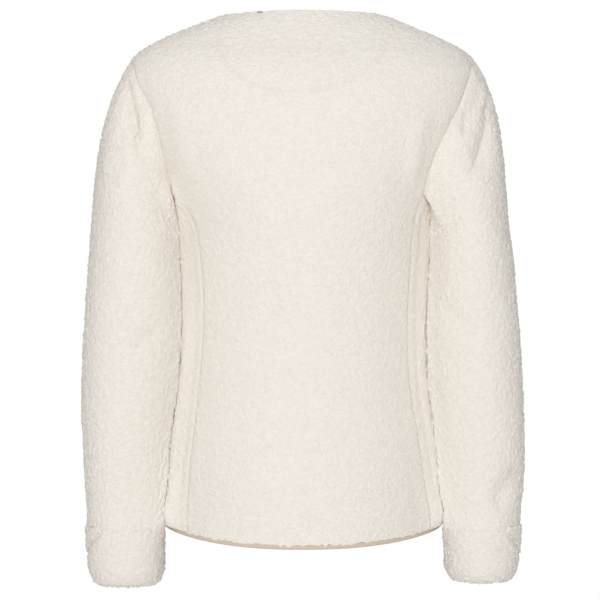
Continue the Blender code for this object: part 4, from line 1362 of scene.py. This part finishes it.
def add_front_binding(side):
    levels = front_grid(side)[1][:, 0]
    levels = np.linspace(levels[0], levels[-1], FRONT_TRIM_ROWS)
    rings = []
    for through, along in round_section():
        x = SIDES[side] * (FRONT_GAP / 2 + along * (BINDING_HEIGHT - SEAM_GAP))
        angles = angle_at(np.full(len(levels), x), levels, True)
        rings.append(at_depth(angles, levels, binding_depth(through)))
    name = f"front_binding_{side}"
    swept(f"{name}_tape", np.stack(rings, axis=1), BINDING, name)


def add_neck_tape():
    """It lies against the inside of the neck edge, as the grids' last rows run."""
    right, left = front_grid("right")[0], front_grid("left")[0]
    back = back_grid()[0]
    near = WALL + SEAM_GAP
    far = near + NECK_TAPE_THICKNESS
    ends = [
        np.concatenate([right[row, -2:0:-1], back[row], left[row, 1:-1]])
        for row in (-1, -2)
    ]
    at = np.linspace(0, len(ends[0]) - 1, NECK_TRIM_ROWS)
    upper, lower = (between_rows(end, at) for end in ends)
    rings = []
    for share, depth in ((0, near), (0, far), (0.25, far), (0.5, far), (0.75, far),
                         (1, far), (1, near), (0.5, near)):
        angles = upper * (1 - share) + lower * share
        level = (NECK_LEVEL - NECK_TAPE_DROP) * (1 - share) + TAPE_LEVEL * share
        points = at_depth(angles, np.full(len(angles), level), depth)
        points[:, 2] += TAPE_PEEK * tape_peek(points) * (1 - share)
        rings.append(points)
    swept("neck_tape_twill", np.stack(rings, axis=1), TAPE, "neck_tape")


# Materials


class Nodes:
    """A small helper that adds linked nodes to a new material."""

    def __init__(self, name):
        self.material = bpy.data.materials.new(name)
        self.material.use_nodes = True
        self.tree = self.material.node_tree
        self.shader = self.tree.nodes["Principled BSDF"]

    def add(self, kind, inputs=None, **settings):
        node = self.tree.nodes.new(kind)
        for key, value in settings.items():
            setattr(node, key, value)
        for key, value in (inputs or {}).items():
            self.put(node.inputs[key], value)
        return node

    def put(self, socket, value):
        if isinstance(value, bpy.types.NodeSocket):
            self.tree.links.new(value, socket)
        else:
            socket.default_value = value

    def place(self):
        return self.add("ShaderNodeTexCoord").outputs["Object"]

    def attribute(self, name):
        return self.add("ShaderNodeAttribute", attribute_name=name).outputs["Fac"]

    def noise(self, place, scale, distortion=0.0):
        node = self.add("ShaderNodeTexNoise", {
            "Vector": place, "Scale": scale, "Detail": 3.0, "Distortion": distortion,
        })
        return node.outputs["Fac"]

    def vector(self, operation, inputs):
        return self.add("ShaderNodeVectorMath", inputs, operation=operation).outputs[0]

    def mix(self, factor, first, second, blend="MIX"):
        node = self.add("ShaderNodeMix", data_type="RGBA", blend_type=blend)
        self.put(node.inputs[0], factor)
        self.put(node.inputs[6], first)
        self.put(node.inputs[7], second)
        return node.outputs[2]

    def ramp(self, value, low, high, to_low=0.0, to_high=1.0):
        node = self.add(
            "ShaderNodeMapRange",
            {0: value, 1: low, 2: high, 3: to_low, 4: to_high},
        )
        return node.outputs[0]

    def math(self, operation, first, second):
        node = self.add("ShaderNodeMath", {0: first, 1: second}, operation=operation)
        return node.outputs[0]

    def finish(self, colour, roughness, bump, distance, strength, normal=None):
        shader = self.shader
        self.put(shader.inputs["Base Color"], colour)
        self.put(shader.inputs["Roughness"], roughness)
        node = self.add("ShaderNodeBump",
                        {"Height": bump, "Distance": distance, "Strength": strength})
        if normal:
            self.put(node.inputs["Normal"], normal)
        self.put(shader.inputs["Normal"], node.outputs[0])
        return self.material

def sherpa_material():
    """Cream fleece with painted shade: darker in the pile's hollows, in the curls' hollows
    and where it is pressed in. Painted light makes it pale along a line where sleeve and
    body brush. Brushed pile leans back, which turns its shading."""
    nodes = Nodes("sherpa")
    place = nodes.place()
    blotch = nodes.noise(place, 45.0)
    fibre = nodes.noise(place, 1100.0, 1.2)
    flat = nodes.add("ShaderNodeMapping", {"Vector": place, "Scale": (1.0, 1.0, 1.5)})
    curl = nodes.add("ShaderNodeTexVoronoi", {"Vector": flat.outputs[0], "Scale": 400.0},
                     feature="SMOOTH_F1").outputs["Distance"]
    # Painted shade: where the pile is low, in its hollows, the colour is darker and warmer.
    depth = nodes.ramp(nodes.attribute("pile"), 0.05, 0.60)
    colour = nodes.mix(depth, (0.825, 0.765, 0.685, 1), (0.870, 0.823, 0.758, 1))
    # Painted shade, warm and dark, where the fleece is pressed in: seams, edges, creases,
    # folds and the cuff's V line.
    press_shade = nodes.math("MULTIPLY", nodes.attribute("pressed"), 0.20)
    for share, tone in (
        (nodes.ramp(blotch, 0.3, 0.7, 0.0, 0.25), (0.845, 0.795, 0.725, 1)),
        (press_shade, (0.70, 0.60, 0.48, 1)),
        (nodes.ramp(fibre, 0.35, 0.65, 0.0, 0.20), (0.80, 0.745, 0.67, 1)),
        # Painted shade in the curls' hollows, where the bump is lowest.
        (nodes.ramp(curl, 0.35, 0.75, 0.0, 0.14), (0.76, 0.69, 0.60, 1)),
        # Painted light along the pale line between sleeve and body.
        (nodes.attribute("pale"), (0.985, 0.955, 0.91, 1)),
    ):
        colour = nodes.mix(share, colour, tone)
    rough = nodes.ramp(fibre, 0.2, 0.8, 0.90, 1.0)
    bump = nodes.math("SUBTRACT", nodes.math("MULTIPLY", fibre, 0.6), curl)
    shader = nodes.shader
    shader.inputs["Sheen Weight"].default_value = 0.12
    shader.inputs["Sheen Roughness"].default_value = 0.6
    shader.inputs["Sheen Tint"].default_value = (1.0, 0.96, 0.9, 1)
    shader.inputs["Specular IOR Level"].default_value = 0.15
    back = nodes.add("ShaderNodeVectorMath", {0: (0.0, BRUSHED_LIFT, 0.0)}, operation="SCALE")
    nodes.put(back.inputs["Scale"], nodes.attribute("brushed"))
    face = nodes.add("ShaderNodeNewGeometry").outputs["Normal"]
    stood = nodes.vector("ADD", {0: face, 1: back.outputs[0]})
    stood = nodes.vector("NORMALIZE", {0: stood})
    return nodes.finish(colour, rough, bump, 0.0010, 1.0, stood)


def knit_material():
    nodes = Nodes("knit_side")
    place = nodes.place()
    ribs = nodes.add("ShaderNodeTexWave",
                     {"Vector": place, "Scale": 180.0, "Distortion": 0.6}, bands_direction="Z")
    loops = nodes.add("ShaderNodeTexVoronoi", {"Vector": place, "Scale": 600.0})
    colour = nodes.mix(nodes.ramp(nodes.noise(place, 60.0), 0.3, 0.7),
                       (0.80, 0.735, 0.65, 1), (0.86, 0.80, 0.72, 1))
    bump = nodes.math("SUBTRACT", ribs.outputs["Fac"], loops.outputs["Distance"])
    rough = nodes.ramp(loops.outputs["Distance"], 0.0, 0.6, 0.82, 0.95)
    nodes.shader.inputs["Specular IOR Level"].default_value = 0.2
    return nodes.finish(colour, rough, bump, 0.0003, 0.6)


def woven_material(name, dark, light, scale):
    nodes = Nodes(name)
    place = nodes.place()
    twill = nodes.add("ShaderNodeTexWave",
                      {"Vector": place, "Scale": scale, "Distortion": 1.0, "Detail": 2.0},
                      bands_direction="DIAGONAL")
    fibre = nodes.noise(place, 900.0)
    both = nodes.math("MULTIPLY", twill.outputs["Fac"], 0.5)
    both = nodes.math("ADD", both, nodes.math("MULTIPLY", fibre, 0.6))
    colour = nodes.mix(nodes.ramp(both, 0.2, 0.8), dark, light)
    rough = nodes.ramp(fibre, 0.2, 0.8, 0.7, 0.9)
    nodes.shader.inputs["Specular IOR Level"].default_value = 0.25
    return nodes.finish(colour, rough, both, 0.0003, 0.7)


SHERPA = sherpa_material()
KNIT = knit_material()
BINDING = woven_material("binding", (0.52, 0.42, 0.33, 1), (0.66, 0.56, 0.46, 1), 330.0)
TAPE = woven_material("neck_tape", (0.56, 0.46, 0.36, 1), (0.70, 0.60, 0.49, 1), 260.0)


# Stage


def add_stage():
    """A pale floor, a soft white room, two large soft lights and the camera."""
    scene = bpy.context.scene
    bpy.ops.mesh.primitive_circle_add(
        vertices=96, radius=3.6, fill_type="NGON", location=(0, 0, -1.38)
    )
    floor = bpy.context.object
    floor.name = "floor"
    nodes = Nodes("floor")
    nodes.shader.inputs["Base Color"].default_value = (0.86, 0.86, 0.86, 1)
    nodes.shader.inputs["Roughness"].default_value = 0.9
    floor.data.materials.append(nodes.material)

    world = bpy.data.worlds.new("room")
    scene.world = world
    world.use_nodes = True
    tree = world.node_tree
    back = tree.nodes["Background"]
    back.inputs["Color"].default_value = (1.0, 1.0, 1.0, 1)
    seen = tree.nodes.new("ShaderNodeLightPath")
    strength = tree.nodes.new("ShaderNodeMix")
    strength.inputs[2].default_value = 0.48
    strength.inputs[3].default_value = 1.0
    tree.links.new(seen.outputs["Is Camera Ray"], strength.inputs[0])
    tree.links.new(strength.outputs[0], back.inputs["Strength"])

    for name, place, size, power, colour in (
        ("key", (0.3, 3.8, 0.35), 2.2, 82.0, (1.0, 1.0, 1.0)),
        ("top", (0.0, 0.8, 2.6), 2.0, 12.0, (0.84, 0.92, 1.0)),
        ("front_fill", (-0.8, -3.6, 0.9), 2.6, 34.0, (1.0, 1.0, 1.0)),
    ):
        light = bpy.data.lights.new(name, "AREA")
        light.size = size
        light.energy = power
        light.color = colour
        lamp = bpy.data.objects.new(name, light)
        scene.collection.objects.link(lamp)
        lamp.location = place
        aim = Vector((0, 0, -0.33)) - lamp.location
        lamp.rotation_euler = aim.to_track_quat("-Z", "Y").to_euler()

    camera = bpy.data.objects.new("camera", bpy.data.cameras.new("camera"))
    scene.collection.objects.link(camera)
    camera.data.lens = 122.0
    camera.data.sensor_width = 36.0
    camera.data.clip_end = 50.0
    camera.location = (0.0035, 2.4, -0.335)
    camera.rotation_euler = (math.radians(90), 0, math.radians(180))
    scene.camera = camera
    scene.view_settings.view_transform = "Standard"
    scene.cycles.diffuse_bounces = 12


add_back()
for side in SIDES:
    add_side_back(side)
    add_front(side)
    add_sleeve(side)
    add_cuff(side)
    add_front_binding(side)
add_hem_binding()
add_neck_tape()
add_stage()
